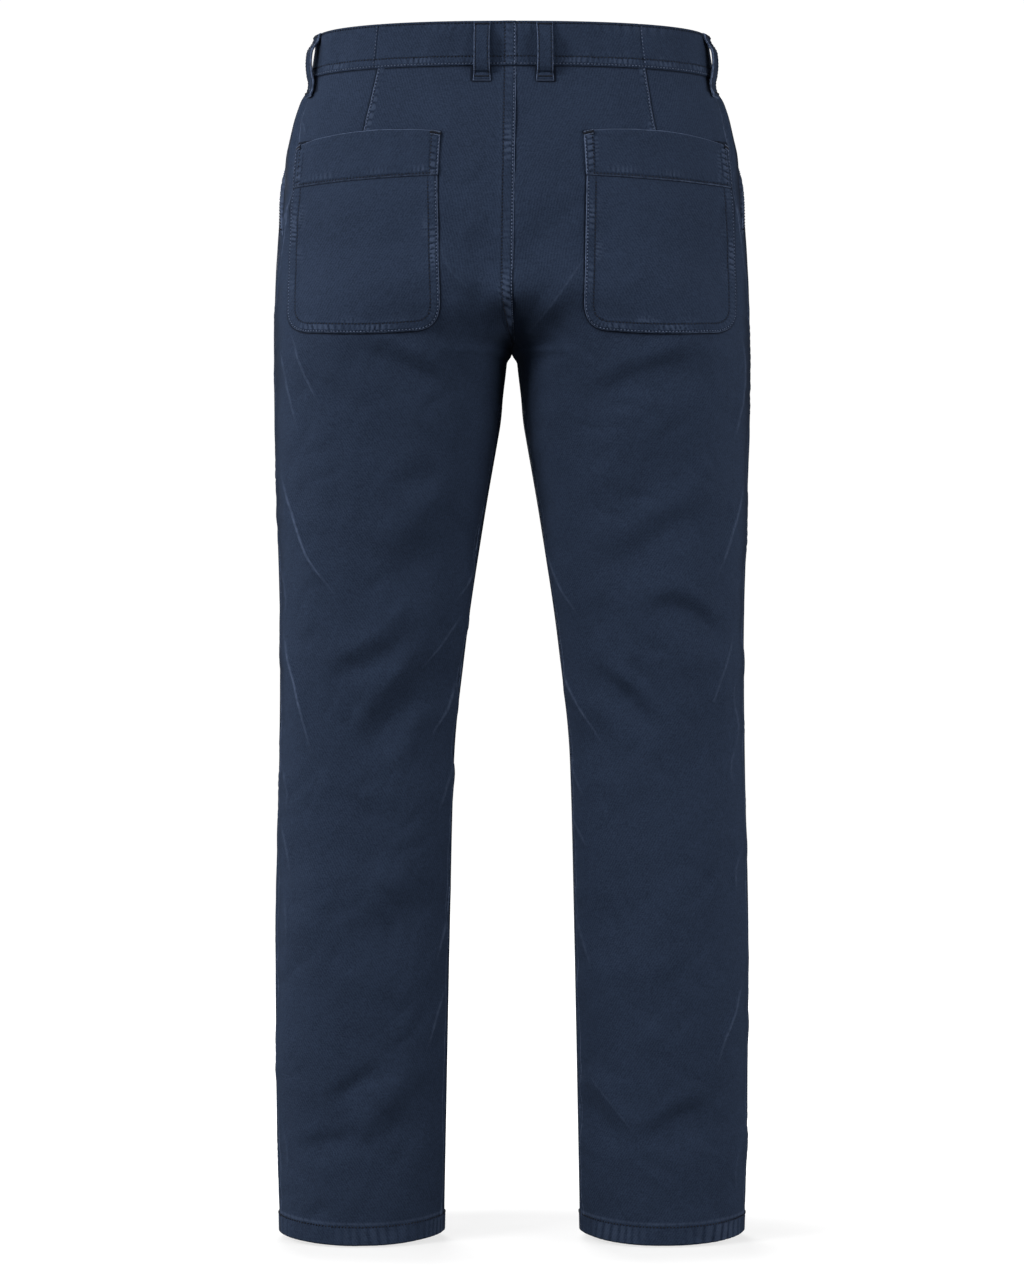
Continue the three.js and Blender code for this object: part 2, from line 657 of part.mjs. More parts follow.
for (const side of SIDES) {
  const cloth = (name, geometry) => add(`${name}_${side.name}`, geometry, NAVY, CLOTH_ROUGHNESS);
  cloth('back', panel(side.sign, 'back'));
  cloth('front', frontPanel(side.sign));
  cloth('waistband_back', backBand(side.sign));
  cloth('waistband_front', side.sign > 0 ? leftBand() : rightBand());
  cloth('back_pocket', pocket(side.sign));
  cloth('back_pocket_band', pocketBand(side.sign));
  cloth('front_pocket_facing', facing(side.sign));
  for (const loop of LOOPS) cloth(loop.name, beltLoop(side.sign, loop));
}
add('fly_shield', flyShield(), NAVY, CLOTH_ROUGHNESS);
add('waist_button', waistButton(), BUTTON_COLOUR, 0.4);

export default trousers;
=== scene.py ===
"""Utility trousers, filled out as if worn: fine cloth over each CAD wall, with its folds and sewing.

Lengths are millimetres until a mesh is made. The front faces -Y and the wearer's left is +X.
"""
import math
from collections import namedtuple
from functools import partial

import bmesh
import bpy
import mathutils
import numpy as np
from bpy.props import FloatProperty, FloatVectorProperty, PointerProperty
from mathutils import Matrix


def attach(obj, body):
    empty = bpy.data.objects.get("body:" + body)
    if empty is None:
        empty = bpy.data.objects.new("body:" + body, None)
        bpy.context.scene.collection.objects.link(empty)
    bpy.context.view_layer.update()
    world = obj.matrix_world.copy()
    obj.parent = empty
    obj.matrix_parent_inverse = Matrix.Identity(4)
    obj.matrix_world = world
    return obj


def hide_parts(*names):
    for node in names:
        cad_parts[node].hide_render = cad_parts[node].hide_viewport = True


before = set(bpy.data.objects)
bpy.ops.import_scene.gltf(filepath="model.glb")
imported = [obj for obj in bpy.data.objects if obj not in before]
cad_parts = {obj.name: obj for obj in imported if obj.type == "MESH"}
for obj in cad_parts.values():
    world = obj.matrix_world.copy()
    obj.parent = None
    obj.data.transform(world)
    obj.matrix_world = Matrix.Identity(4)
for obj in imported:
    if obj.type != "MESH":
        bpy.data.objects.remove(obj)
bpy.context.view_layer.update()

bl_info = {
    "name": "Utility trousers",
    "version": (1, 0, 0),
    "blender": (4, 5, 0),
    "location": "3D View > Sidebar > Trousers",
    "description": "Builds cotton twill trousers, filled out as if worn, over their CAD walls",
    "category": "Object",
}

MM = 0.001
UP = np.array([0, 0, 1.0])
BODY = "root"
# a stitch row that isn't there, and a crest and an upper layer that are nowhere near
NO_ROW = -90.0
NO_CREST = 50.0
FAR = 40.0


def hex_colour(code):
    """Linear colour of an sRGB hex value."""
    parts = [int(code[k:k + 2], 16) / 255 for k in (1, 3, 5)]
    return tuple(p / 12.92 if p <= 0.04045 else ((p + 0.055) / 1.055) ** 2.4 for p in parts)


# ---------------------------------------------------------------- the form

# heights, thicknesses and reaches of the CAD walls, which the cloth follows
GAP = 0.3
BAND_TOP = 20
BAND_SEAM = -20
FRONT_DIP = 18
DIP_END = -215
BACK_FORK = -180
FRONT_FORK = -200
CROTCH = -275
INSEAM_SETTLED = -335
HEM = -1090
CLOTH = 1.5
SEAT_ROUNDNESS = 2.3
LEG_ROUNDNESS = 2.15
ROUND_LEG_FROM = -430
SEAT_SEAM_LEAN = 4
SEAT_SEAM_REACH = 60
INSEAM_SWING = 12
BAND_BACK_SEAM = {1: 51.1, -1: 53.3}
BAND_PROUD = 0.9
BAND_WALL = 2.8

# height, then the outseam's and the inseam's distance from the centre plane, and the depths
# behind and before it
SECTIONS = (
    (20, 180, 0, 92, 92),
    (-20, 186.6, 0, 97, 95),
    (-60, 200, 0, 107, 98),
    (-80, 204.5, 0, 112, 100),
    (-115, 211.6, 0, 119, 103),
    (-150, 215.5, 0, 124, 105),
    (-215, 219.2, 0, 127, 107),
    (-275, 220.3, 0, 119, 104),
    (-320, 220.2, 7.4, 108, 100),
    (-430, 217.6, 26.4, 92, 90),
    (-540, 214.9, 42.6, 78, 78),
    (-650, 216, 53.7, 67, 70),
    (-820, 219.4, 57.9, 66, 60),
    (-985, 218, 61.1, 62, 56),
    (-1090, 215.2, 63, 60, 54),
)
# height, and the side seam's angle towards the back from the widest point
OUTSEAM = (
    (20, 12.5), (-20, 12.5), (-54, 14.5), (-95, 18), (-130, 19), (-170, 15), (-215, 12), (-1090, 12),
)


def smooth(t):
    """Eased rise from 0 to 1 as t goes from 0 to 1."""
    s = np.clip(t, 0, 1)
    return s * s * (3 - 2 * s)


def curve_through(table, key):
    """Monotone cubic through one column of a table whose rows go down, as a function of height."""
    height = np.array([row[0] for row in table][::-1], float)
    value = np.array([row[key] for row in table][::-1], float)
    slope = np.diff(value) / np.diff(height)
    before, after = slope[:-1], slope[1:]
    total = np.where(before + after == 0, 1, before + after)
    inner = np.where(before * after > 0, 2 * before * after / total, 0)
    tangent = np.concatenate([slope[:1], inner, slope[-1:]])

    def at(z):
        z = np.clip(z, height[0], height[-1])
        k = np.clip(np.searchsorted(height, z) - 1, 0, len(height) - 2)
        step = height[k + 1] - height[k]
        t = (z - height[k]) / step
        return ((2 * t**3 - 3 * t**2 + 1) * value[k] + (t**3 - 2 * t**2 + t) * step * tangent[k]
                + (3 * t**2 - 2 * t**3) * value[k + 1] + (t**3 - t**2) * step * tangent[k + 1])

    return at


outer_at, inner_at, back_at, front_at = (curve_through(SECTIONS, k) for k in (1, 2, 3, 4))
outseam_at = curve_through(OUTSEAM, 1)


def fork(z, start):
    """How far the section has divided into two legs, 0 to 1."""
    return smooth((start - z) / (start - CROTCH))


def roundness(z):
    """Power of the section's oval: 2 is an ellipse, and more is squarer."""
    t = smooth((CROTCH - z) / (CROTCH - ROUND_LEG_FROM))
    return SEAT_ROUNDNESS + (LEG_ROUNDNESS - SEAT_ROUNDNESS) * t


def centre_at(z, at_back):
    """Middle of one side's section."""
    divided = np.where(at_back, fork(z, BACK_FORK), fork(z, FRONT_FORK))
    outer = outer_at(z)
    return np.where(z > CROTCH, outer * divided / (1 + divided), (outer + inner_at(z)) / 2)


def form(side, angle, z):
    """Points of the bare form at angles round one side and heights, as the CAD walls have it."""
    angle, z = np.broadcast_arrays(np.asarray(angle, float), np.asarray(z, float))
    sine, cosine = np.sin(np.radians(angle)), np.cos(np.radians(angle))
    at_back = sine >= 0
    power = 2 / roundness(z)
    centre = centre_at(z, at_back)
    x = centre + (outer_at(z) - centre) * np.sign(cosine) * np.abs(cosine) ** power
    y = np.where(at_back, back_at(z), -front_at(z)) * np.abs(sine) ** power
    dip = FRONT_DIP * np.maximum(0, -sine) ** 2 * (1 - smooth((BAND_SEAM - z) / (BAND_SEAM - DIP_END)))
    x = np.maximum(x, GAP / 2)
    nearness = np.maximum(0, 1 - x / SEAT_SEAM_REACH) ** 2
    rise = np.clip((z - CROTCH) / (BAND_SEAM - CROTCH), 0, 1)
    lean = np.where(at_back & (z > CROTCH), SEAT_SEAM_LEAN * nearness * rise, 0)
    return np.stack([side * x - lean, y, z - dip], axis=-1)


def unit(v):
    """Vectors at length 1."""
    return v / np.maximum(np.linalg.norm(v, axis=-1, keepdims=True), 1e-9)


def form_normal(side, angle, z, level=False):
    """Outward direction of the form. A level one leans neither up nor down."""
    around = form(side, angle + 1, z) - form(side, angle - 1, z)
    up = form(side, angle, np.asarray(z) + 1.5) - form(side, angle, np.asarray(z) - 1.5)
    if level:
        up = np.zeros_like(around) + UP
    normal = np.cross(around, up) * side
    if level:
        normal[..., 2] = 0
    return unit(normal)


def inner_angle(z, face):
    """Angle of the centre seam, or of the inseam below the crotch."""
    towards = 1 if face == "back" else -1
    divided = fork(z, BACK_FORK if face == "back" else FRONT_FORK)
    above = towards * np.degrees(np.arccos(-(divided ** (roundness(z) / 2))))
    swing = INSEAM_SWING * smooth((CROTCH - z) / (CROTCH - INSEAM_SETTLED))
    below = 180 - swing if face == "back" else -180 - swing
    return np.where(z > CROTCH, above, below)


def panel_angle(face, share, z):
    """Angle at a share of a panel's width: 0 is the side seam, 1 the centre seam or inseam."""
    first = outseam_at(z)
    return first + (inner_angle(z, face) - first) * share


def back_place(side, x, z):
    """Point and normal of the back of the bare form over a distance from the centre plane."""

    def point(x, z):
        centre = centre_at(z, True)
        across = np.clip(np.abs((x - centre) / (outer_at(z) - centre)), 0, 0.9999)
        n = roundness(z)
        return np.stack([side * x, back_at(z) * (1 - across**n) ** (1 / n), z], axis=-1)

    x, z = np.broadcast_arrays(np.asarray(x, float), np.asarray(z, float))
    normal = np.cross(point(x, z + 1) - point(x, z - 1), point(x + 1, z) - point(x - 1, z)) * side
    return point(x, z), unit(normal)


# ---------------------------------------------------------------- folds

# By side, the wearer's left being 1, and face. A fold runs along a path of (distance from the
# centre plane, height). above and below are its widths on its two sides, and depth is negative in a
# trough. sharp is 0 for a soft roll and 1 for a pressed crest, and wear is how pale its crest has
# rubbed.
Fold = namedtuple("Fold", "path above below depth sharp wear", defaults=(0, 0))
FOLDS = {
    (1, "back"): (
        # seat and thigh
        Fold(((66, -172), (58, -203), (44, -220), (24, -235)), 9, 14, 2.4, 0.3, 0.15),
        Fold(((68, -208), (44, -226), (8, -244)), 12, 12, -2.8),
        Fold(((38, -165), (20, -205), (6, -246)), 14, 14, -4.2),
        Fold(((162, -270), (117, -286), (74, -305), (40, -330)), 9, 18, -3.4),
        Fold(((72, -282), (48, -296), (24, -318)), 11, 15, -2.8),
        Fold(((200, -258), (187, -298), (170, -333)), 7, 12, 2, 0.6, 0.5),
        Fold(((212, -262), (202, -317), (193, -352)), 6, 9, 1.4, 0.6, 0.5),
        Fold(((214, -378), (196, -429), (184, -463), (154, -506)), 8, 17, 3.4, 0.6, 0.9),
        Fold(((57, -382), (84, -392), (114, -408)), 12, 14, -2.2),
        Fold(((22, -402), (52, -436), (82, -466), (128, -498)), 18, 26, -5.5),
        Fold(((84, -492), (116, -524), (166, -566)), 14, 16, 2.6, 0.2),
        Fold(((50, -540), (80, -576), (109, -609), (144, -654)), 13, 22, -6.4),
        Fold(((92, -538), (128, -556), (162, -580)), 9, 12, -2.8),
        # knee and calf
        Fold(((211, -522), (198, -578), (181, -648)), 7, 14, 2.8, 0.6, 0.9),
        Fold(((29, -456), (40, -482), (54, -504)), 7, 10, 2, 0.6, 0.6),
        Fold(((47, -512), (64, -540), (82, -568)), 7, 11, 2.2, 0.6, 0.6),
        Fold(((49, -572), (60, -600), (74, -631)), 7, 11, 2.2, 0.6, 0.7),
        Fold(((55, -645), (62, -672), (69, -700)), 6, 9, 1.8, 0.6, 0.5),
        Fold(((56, -600), (75, -632), (99, -676)), 11, 18, -4.6),
        Fold(((144, -548), (164, -584)), 9, 11, -1.6),
        Fold(((162, -730), (182, -780), (202, -832)), 18, 22, 3),
        Fold(((52, -758), (82, -778), (108, -798), (136, -836)), 18, 28, -5),
        Fold(((116, -925), (147, -948), (166, -970)), 9, 13, -3.2),
        Fold(((92, -941), (118, -944), (144, -954)), 9, 11, 2.2, 0.2),
        Fold(((68, -928), (86, -958), (104, -982), (130, -1012)), 11, 26, -4.8),
        Fold(((130, -989), (174, -998), (208, -1013)), 8, 12, -2.3),
        Fold(((59, -792), (65, -812), (71, -836)), 6, 9, 1.7, 0.6, 0.6),
        Fold(((60, -855), (70, -882), (79, -920)), 6, 9, 1.8, 0.6, 0.6),
        Fold(((200, -132), (206, -150), (213, -170)), 5, 8, 1.3, 0.6, 0.6),
        Fold(((213, -700), (206, -730), (204, -760)), 6, 8, 1.3, 0.6, 0.4),
        Fold(((196, -58), (189, -70), (191, -84)), 3, 4, 1.0, 0.6, 0.24),
        Fold(((203, -400), (205, -424), (198, -446)), 3, 4, 0.9, 0.6, 0.24),
        Fold(((213, -470), (207, -500), (209, -520)), 3, 4, 0.9, 0.6, 0.28),
        Fold(((212, -650), (206, -676), (208, -700)), 3, 4, 1.0, 0.6, 0.28),
        Fold(((211, -770), (206, -800), (209, -824)), 3, 4, 0.9, 0.6, 0.24),
        Fold(((212, -985), (207, -1010), (209, -1034)), 3, 4, 0.9, 0.6, 0.21),
    ),
    (-1, "back"): (
        # seat and thigh
        Fold(((70, -190), (49, -220), (33, -241), (8, -270)), 9, 13, 2.8, 0.4, 0.35),
        Fold(((46, -145), (26, -180), (8, -216)), 14, 14, -3),
        Fold(((88, -226), (54, -249), (20, -276)), 12, 14, -1.4),
        Fold(((192, -276), (154, -290), (108, -304), (56, -333)), 9, 18, -3.4),
        Fold(((150, -348), (122, -405), (94, -458)), 26, 26, -3),
        Fold(((190, -420), (152, -436), (116, -460), (70, -481)), 14, 24, -6),
        Fold(((118, -521), (146, -510), (178, -525), (202, -523)), 10, 18, -3.6),
        Fold(((60, -554), (84, -574), (108, -596), (124, -616), (136, -636)), 8, 13, -4),
        Fold(((104, -552), (114, -566), (120, -582)), 7, 8, -1.7),
        Fold(((23, -426), (43, -484), (67, -526)), 7, 12, 2.4, 0.6, 0.6),
        Fold(((40, -553), (58, -588), (84, -637)), 7, 12, 2.6, 0.6, 0.8),
        Fold(((209, -256), (211, -304), (200, -368)), 6, 9, 1.6, 0.6, 0.5),
        Fold(((215, -388), (200, -436), (192, -463), (183, -490)), 7, 13, 2.6, 0.6, 0.6),
        # knee and calf
        Fold(((205, -530), (194, -560), (186, -584), (177, -614)), 7, 11, 2.2, 0.6, 0.5),
        Fold(((52, -690), (60, -708), (71, -733)), 6, 10, 1.8, 0.6, 0.5),
        Fold(((52, -640), (58, -660), (67, -686)), 5, 8, 1.5, 0.6, 0.45),
        Fold(((56, -780), (67, -818), (75, -846)), 6, 9, 1.7, 0.6, 0.4),
        Fold(((135, -740), (139, -800), (137, -872)), 26, 26, 2),
        Fold(((66, -928), (89, -958), (118, -996)), 8, 13, 2.8, 0.4, 0.25),
        Fold(((56, -946), (80, -976), (106, -1008)), 12, 15, -3.2),
        Fold(((190, -962), (150, -976), (132, -991), (112, -1012)), 10, 22, -4),
        Fold(((213, -846), (203, -880), (193, -905), (186, -936)), 5, 9, 1.9, 0.6, 0.6),
        Fold(((207, -866), (198, -890), (190, -914)), 4, 7, 1.2, 0.6, 0.35),
        Fold(((197, -128), (206, -148), (214, -170)), 5, 8, 1.3, 0.6, 0.5),
        Fold(((207, -392), (199, -414), (203, -440), (194, -468)), 3, 5, 1.1, 0.6, 0.35),
        Fold(((209, -552), (202, -585), (207, -618), (203, -650)), 4, 6, 1.3, 0.6, 0.35),
        Fold(((199, -560), (193, -590), (196, -620)), 3, 5, 1.1, 0.6, 0.28),
        Fold(((206, -634), (200, -656), (204, -676)), 3, 4, 0.9, 0.6, 0.28),
        Fold(((212, -300), (205, -330), (207, -352)), 3, 5, 1.0, 0.6, 0.28),
        Fold(((200, -70), (196, -84), (201, -98), (196, -112)), 3, 4, 1.0, 0.6, 0.32),
        Fold(((210, -1000), (204, -1026), (207, -1050)), 3, 4, 0.9, 0.6, 0.21),
        Fold(((213, -722), (205, -750), (209, -776)), 4, 5, 1.4, 0.6, 0.35),
    ),
    (1, "front"): (
        Fold(((14, -226), (52, -208), (100, -202)), 10, 14, -2.6),
        Fold(((14, -250), (60, -258), (132, -240)), 12, 18, -3.4),
        Fold(((20, -286), (66, -306), (118, -316)), 12, 16, -3),
        Fold(((212, -300), (196, -352), (170, -398)), 7, 13, 2.4, 0.6, 0.7),
        Fold(((60, -500), (98, -540), (152, -598)), 18, 26, -5),
        Fold(((192, -628), (152, -652), (104, -688)), 14, 20, -4),
        Fold(((54, -600), (74, -640), (80, -672)), 7, 11, 2, 0.6, 0.6),
        Fold(((210, -560), (198, -600), (188, -640)), 7, 12, 2.2, 0.6, 0.7),
        Fold(((66, -812), (104, -850), (140, -872)), 14, 18, -3),
        Fold(((196, -930), (150, -962), (112, -996)), 12, 20, -3.8),
    ),
    (-1, "front"): (
        Fold(((14, -232), (48, -214), (92, -210)), 10, 14, -2.4),
        Fold(((16, -256), (64, -262), (126, -246)), 12, 18, -3.2),
        Fold(((22, -296), (70, -318), (124, -322)), 12, 16, -3),
        Fold(((213, -330), (199, -376), (176, -420)), 7, 13, 2.4, 0.6, 0.7),
        Fold(((62, -522), (96, -562), (142, -622)), 18, 26, -5),
        Fold(((188, -648), (150, -674), (112, -704)), 14, 20, -3.8),
        Fold(((44, -540), (58, -574), (74, -600)), 7, 11, 2, 0.6, 0.6),
        Fold(((212, -600), (202, -640), (190, -676)), 7, 12, 2, 0.6, 0.6),
        Fold(((70, -840), (110, -874), (138, -912)), 14, 18, -3),
        Fold(((190, -960), (154, -984), (124, -1018)), 12, 20, -3.4),
    ),
}


def rounded_path(path, steps=10):
    """Smooth line through a path's points."""
    p = np.array([path[0], *path, path[-1]], float)
    t = np.linspace(0, 1, steps, endpoint=False)[:, None]
    pieces = []
    for a, b, c, d in zip(p, p[1:], p[2:], p[3:]):
        pieces.append(0.5 * (2 * b + (c - a) * t + (2 * a - 5 * b + 4 * c - d) * t**2
                             + (3 * b - a - 3 * c + d) * t**3))
    return np.vstack([*pieces, p[-1:]])


def along_path(path, x, z):
    """Distance from a line, positive above it, and how far along it, 0 to 1, of flat arrays."""
    line = rounded_path(path)
    start, step = line[:-1], np.diff(line, axis=0)
    length = np.hypot(step[:, 0], step[:, 1])
    reached = np.concatenate([[0], np.cumsum(length)])
    dx, dz = x[:, None] - start[:, 0], z[:, None] - start[:, 1]
    t = np.clip((dx * step[:, 0] + dz * step[:, 1]) / length**2, 0, 1)
    off_x, off_z = dx - t * step[:, 0], dz - t * step[:, 1]
    apart = np.hypot(off_x, off_z)
    k = np.argmin(apart, axis=1)
    row = np.arange(len(x))
    turn = step[k, 0] * off_z[row, k] - step[k, 1] * off_x[row, k]
    onward = 1 if line[-1, 0] >= line[0, 0] else -1
    signed = apart[row, k] * np.where(turn * onward >= 0, 1, -1)
    return signed, (reached[k] + t[row, k] * length[k]) / reached[-1]


def unevenness(x, z, size, seed):
    """Slow waves crossing at many angles, about -1 to 1."""
    random = np.random.default_rng(seed)
    total = 0
    for _ in range(7):
        turn, phase = random.uniform(0, math.tau, 2)
        wave = math.tau / (size * random.uniform(0.7, 1.5))
        total = total + np.sin((x * math.cos(turn) + z * math.sin(turn)) * wave + phase)
    return total / 3.5


def crumples(x, z, seed):
    """Faint crumples left by washing: short crossing creases that come and go."""
    drift = 8 * unevenness(x, z, 80, seed)
    total = 0
    for k, (turn, size) in enumerate(((0.95, 27), (-0.75, 34), (0.4, 19))):
        across = x * math.cos(turn) + z * math.sin(turn) + drift * (1 - 0.4 * k)
        there = smooth(0.15 + 0.9 * unevenness(x, z, 60, seed + 40 + k))
        total = total + (np.abs(np.sin(across * math.pi / size + seed)) - 0.64) * there * size / 27
    return total


def folds_at(side, face, x, z, fade=1.0):
    """Height of the folds over the form, with how far each place is from a pale crest, and how pale."""
    shape = np.shape(x)
    x, z = np.ravel(x).astype(float), np.ravel(z).astype(float)
    height = np.zeros_like(x)
    crease, wear = np.full_like(x, NO_CREST), np.zeros_like(x)
    depth = bpy.context.scene.trousers.fold_depth
    for fold in FOLDS[side, face]:
        reach = 3.2 * max(fold.above, fold.below)
        xs, zs = zip(*fold.path)
        near = np.nonzero((x > min(xs) - reach) & (x < max(xs) + reach)
                          & (z > min(zs) - reach) & (z < max(zs) + reach))[0]
        if not len(near):
            continue
        away, along = along_path(fold.path, x[near], z[near])
        body = smooth(along / 0.35) * smooth((1 - along) / 0.4)
        q = np.abs(away) / np.where(away > 0, fold.above, fold.below)
        roll = np.exp(-q * q)
        if not fold.sharp:
            # cloth pushed out of a trough stands up along both its sides
            roll = roll - 0.3 * np.exp(-((q - 1.9) / 0.8) ** 2)
        profile = (1 - fold.sharp) * roll + fold.sharp * np.exp(-1.7 * q)
        height[near] += depth * fold.depth * body * profile
        if fold.wear:
            pale = fold.wear * body * (np.abs(away) < 14)
            better = pale > wear[near]
            crease[near[better]] = away[better]
            wear[near[better]] = pale[better]
    seed = 11 + 2 * side + (5 if face == "front" else 0)
    slow = (0.9 * unevenness(x, z, 95, seed) + 0.4 * unevenness(x, z * 0.8, 38, seed + 20)
            + 0.95 * crumples(x, z, seed))
    return (height + slow).reshape(shape) * fade, crease.reshape(shape), wear.reshape(shape)


def pucker(run, size, seed):
    """Gathers along a sewn edge, 0 to 1: swells of uneven length with narrow valleys between them."""
    drift = 1.1 * np.sin(run / (size * 2.9) + seed) + 0.7 * np.sin(run / (size * 1.3) + 2.1 * seed)
    swell = (0.6 + 0.25 * np.sin(run / (size * 1.9) + 4.7 * seed)
             + 0.15 * np.sin(run / (size * 5.3) + seed))
    return 0.35 + (0.65 - np.exp(-(np.sin(run * math.pi / size + drift) / 0.4) ** 2)) * swell


def groove(across, row, width=0.6):
    """Pull of one stitch row."""
    return np.exp(-((across - row) / width) ** 2)


def sewn_strip(edge, run, rows, size, seed, drop=1.1, tail=10):
    """Height of a folded edge sewn down with two rows, and how far its gathers stand out, -1 to 1.
    The gathers fill the strip between the rows and die out a little way past the second."""
    first, second = rows
    slant = run + 0.3 * edge * np.sin(run / 37 + seed)
    between = smooth((edge - first) / 1.8) * smooth((second + 0.2 - edge) / 2)
    beyond = smooth((edge - second) / 1.2) * (1 - smooth((edge - second - 1) / tail))
    strength = 0.65 + 0.35 * np.sin(run / 23 + 3 * seed)
    standing = ((pucker(slant, size, seed) - 0.5) * between
                + 0.6 * (pucker(slant, size * 0.7, seed + 1) - 0.55) * beyond) * strength
    pulls = groove(edge, first, 0.5) + 0.8 * groove(edge, second)
    rolled = (1 - smooth(edge / 1.0)) ** 1.5
    return 1.5 * standing - 0.35 * pulls - drop * rolled, 1.2 * standing


# ---------------------------------------------------------------- meshes

def paced(length, step_at):
    """Places from 0 to 1 along a length, an odd number of them, whose steps follow step_at."""
    places = [0.0]
    while places[-1] < length:
        places.append(places[-1] + step_at(places[-1]))
    if len(places) % 2 == 0:
        places.append(places[-1] + step_at(places[-1]))
    return np.array(places) / places[-1]


def edge_paced(length, fine, coarse, start=12, end=12):
    """Places that are close together near one or both ends."""

    def step(s):
        away = min(s if start else length, length - s if end else length)
        return fine + (coarse - fine) * float(smooth((away - 12) / 14))
    return paced(length, step)


def grid_normals(points):
    """Normals of a grid of points, from its neighbours."""
    return unit(np.cross(np.gradient(points, axis=0), np.gradient(points, axis=1)))


def facing_sign(shown, hidden):
    """1 or -1, so that a grid's normals point from its hidden face to its shown one."""
    r, c = shown.shape[0] // 2, shown.shape[1] // 2
    normal = np.cross(shown[r + 1, c] - shown[r, c], shown[r, c + 1] - shown[r, c])
    return 1 if np.dot(normal, shown[r, c] - hidden[r, c]) > 0 else -1


def shell(name, outer, inner, material, layers, uv, ring=False):
    """Closed cloth wall between two grids. The hidden face has every second row and column."""
    rows, cols = outer.shape[:2]
    lining = inner[::2, ::2]
    in_rows, in_cols = lining.shape[:2]
    faces = []
    out = np.arange(rows * cols).reshape(rows, cols)
    back = rows * cols + np.arange(in_rows * in_cols).reshape(in_rows, in_cols)
    if ring:
        out = np.hstack([out[:, :-1], out[:, :1]])
        back = np.hstack([back[:, :-1], back[:, :1]])
    quads = np.stack([out[:-1, :-1], out[1:, :-1], out[1:, 1:], out[:-1, 1:]], -1).reshape(-1, 4)
    hidden = np.stack([back[:-1, :-1], back[:-1, 1:], back[1:, 1:], back[1:, :-1]], -1).reshape(-1, 4)
    edges = [(out[0], back[0], False), (out[-1], back[-1], True)]
    if not ring:
        edges += [(out[:, 0], back[:, 0], True), (out[:, -1], back[:, -1], False)]
    for shown, under, flip in edges:
        for k in range(len(under) - 1):
            a, b, c = shown[2 * k], shown[2 * k + 1], shown[2 * k + 2]
            d, e = under[k], under[k + 1]
            rim = [(a, b, d), (b, e, d), (b, c, e)]
            faces += [f[::-1] for f in rim] if flip else rim
    faces = [tuple(q) for q in quads] + [tuple(q) for q in hidden] + faces
    if facing_sign(outer, inner) < 0:
        faces = [f[::-1] for f in faces]
    points = np.vstack([outer.reshape(-1, 3), lining.reshape(-1, 3)]) * MM
    mesh = bpy.data.meshes.new(name)
    mesh.from_pydata(points, [], faces)
    mesh.update()
    for key, values in layers.items():
        values = np.broadcast_to(values, (rows, cols))
        both = np.concatenate([values.ravel(), values[::2, ::2].ravel()])
        mesh.attributes.new(key, "FLOAT", "POINT").data.foreach_set("value", both.astype(np.float32))
    both = np.vstack([uv.reshape(-1, 2), uv[::2, ::2].reshape(-1, 2)])
    corner = np.empty(len(mesh.loops), np.int32)
    mesh.loops.foreach_get("vertex_index", corner)
    mesh.uv_layers.new(name="Cloth").data.foreach_set("uv", both[corner].astype(np.float32).ravel())
    return finish_piece(name, mesh, material, 50)


def finish_piece(name, mesh, material, sharp_from=None):
    """Object for a finished mesh, smooth but for its rims, riding on the garment."""
    used = np.zeros(len(mesh.vertices), bool)
    corner = np.empty(len(mesh.loops), np.int32)
    mesh.loops.foreach_get("vertex_index", corner)
    used[corner] = True
    if not used.all():
        bm = bmesh.new()
        bm.from_mesh(mesh)
        bmesh.ops.delete(bm, geom=[v for v in bm.verts if not v.link_faces], context="VERTS")
        bm.to_mesh(mesh)
        bm.free()
    mesh.materials.append(material)
    mesh.polygons.foreach_set("use_smooth", np.ones(len(mesh.polygons), bool))
    if sharp_from:
        mesh.set_sharp_from_angle(angle=math.radians(sharp_from))
    piece = bpy.data.objects.new(name, mesh)
    bpy.context.scene.collection.objects.link(piece)
    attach(piece, BODY)
    return piece


def layers_of(shape, edge=60.0, run=0.0, row_a=NO_ROW, row_b=NO_ROW, crease=NO_CREST, wear=0.0,
              high=0.0, under=FAR):
    """What the cloth's material reads at each point, in millimetres: distance in from a sewn edge
    and along it, the two stitch rows' distances from that edge, distance from a crest and its wear,
    how far a gather stands out, and distance out from the edge of whatever lies on top. The
    material paints shade along the rows, in the gathers' valleys and out from upper layers' edges."""
    values = dict(edge_in=edge, edge_run=run, row_a=row_a, row_b=row_b, crease=crease, crease_wear=wear,
                  standing=high, under_edge=under)
    return {key: np.broadcast_to(np.asarray(value, float), shape) for key, value in values.items()}


def lengths_along(points, axis):
    """Arc length from the first point of each line of a grid."""
    steps = np.linalg.norm(np.diff(points, axis=axis), axis=-1)
    start = np.zeros_like(np.take(steps, [0], axis=axis))
    return np.concatenate([start, np.cumsum(steps, axis=axis)], axis=axis)


def traced(grid, normals, distance, edge):
    """Line over a grid at a distance in from one of its edges: left, right, top or bottom."""
    if edge in ("top", "bottom"):
        grid, normals = grid.transpose(1, 0, 2), normals.transpose(1, 0, 2)
    if edge in ("right", "bottom"):
        grid, normals = grid[:, ::-1], normals[:, ::-1]
    reached = lengths_along(grid, 1)
    line, out = [], []
    for k in range(len(grid)):
        want = distance[k] if np.ndim(distance) else distance
        line.append([np.interp(want, reached[k], grid[k, :, c]) for c in range(3)])
        out.append([np.interp(want, reached[k], normals[k, :, c]) for c in range(3)])
    return np.array(line), unit(np.array(out))


# ---------------------------------------------------------------- sewing

STITCH_CORNERS = 12
STITCH_FACES = [(0, 1, 5, 4), (1, 2, 6, 5), (2, 3, 7, 6), (3, 0, 4, 7), (4, 5, 9, 8), (5, 6, 10, 9),
                (6, 7, 11, 10), (7, 4, 8, 11), (3, 2, 1, 0), (8, 9, 10, 11)]


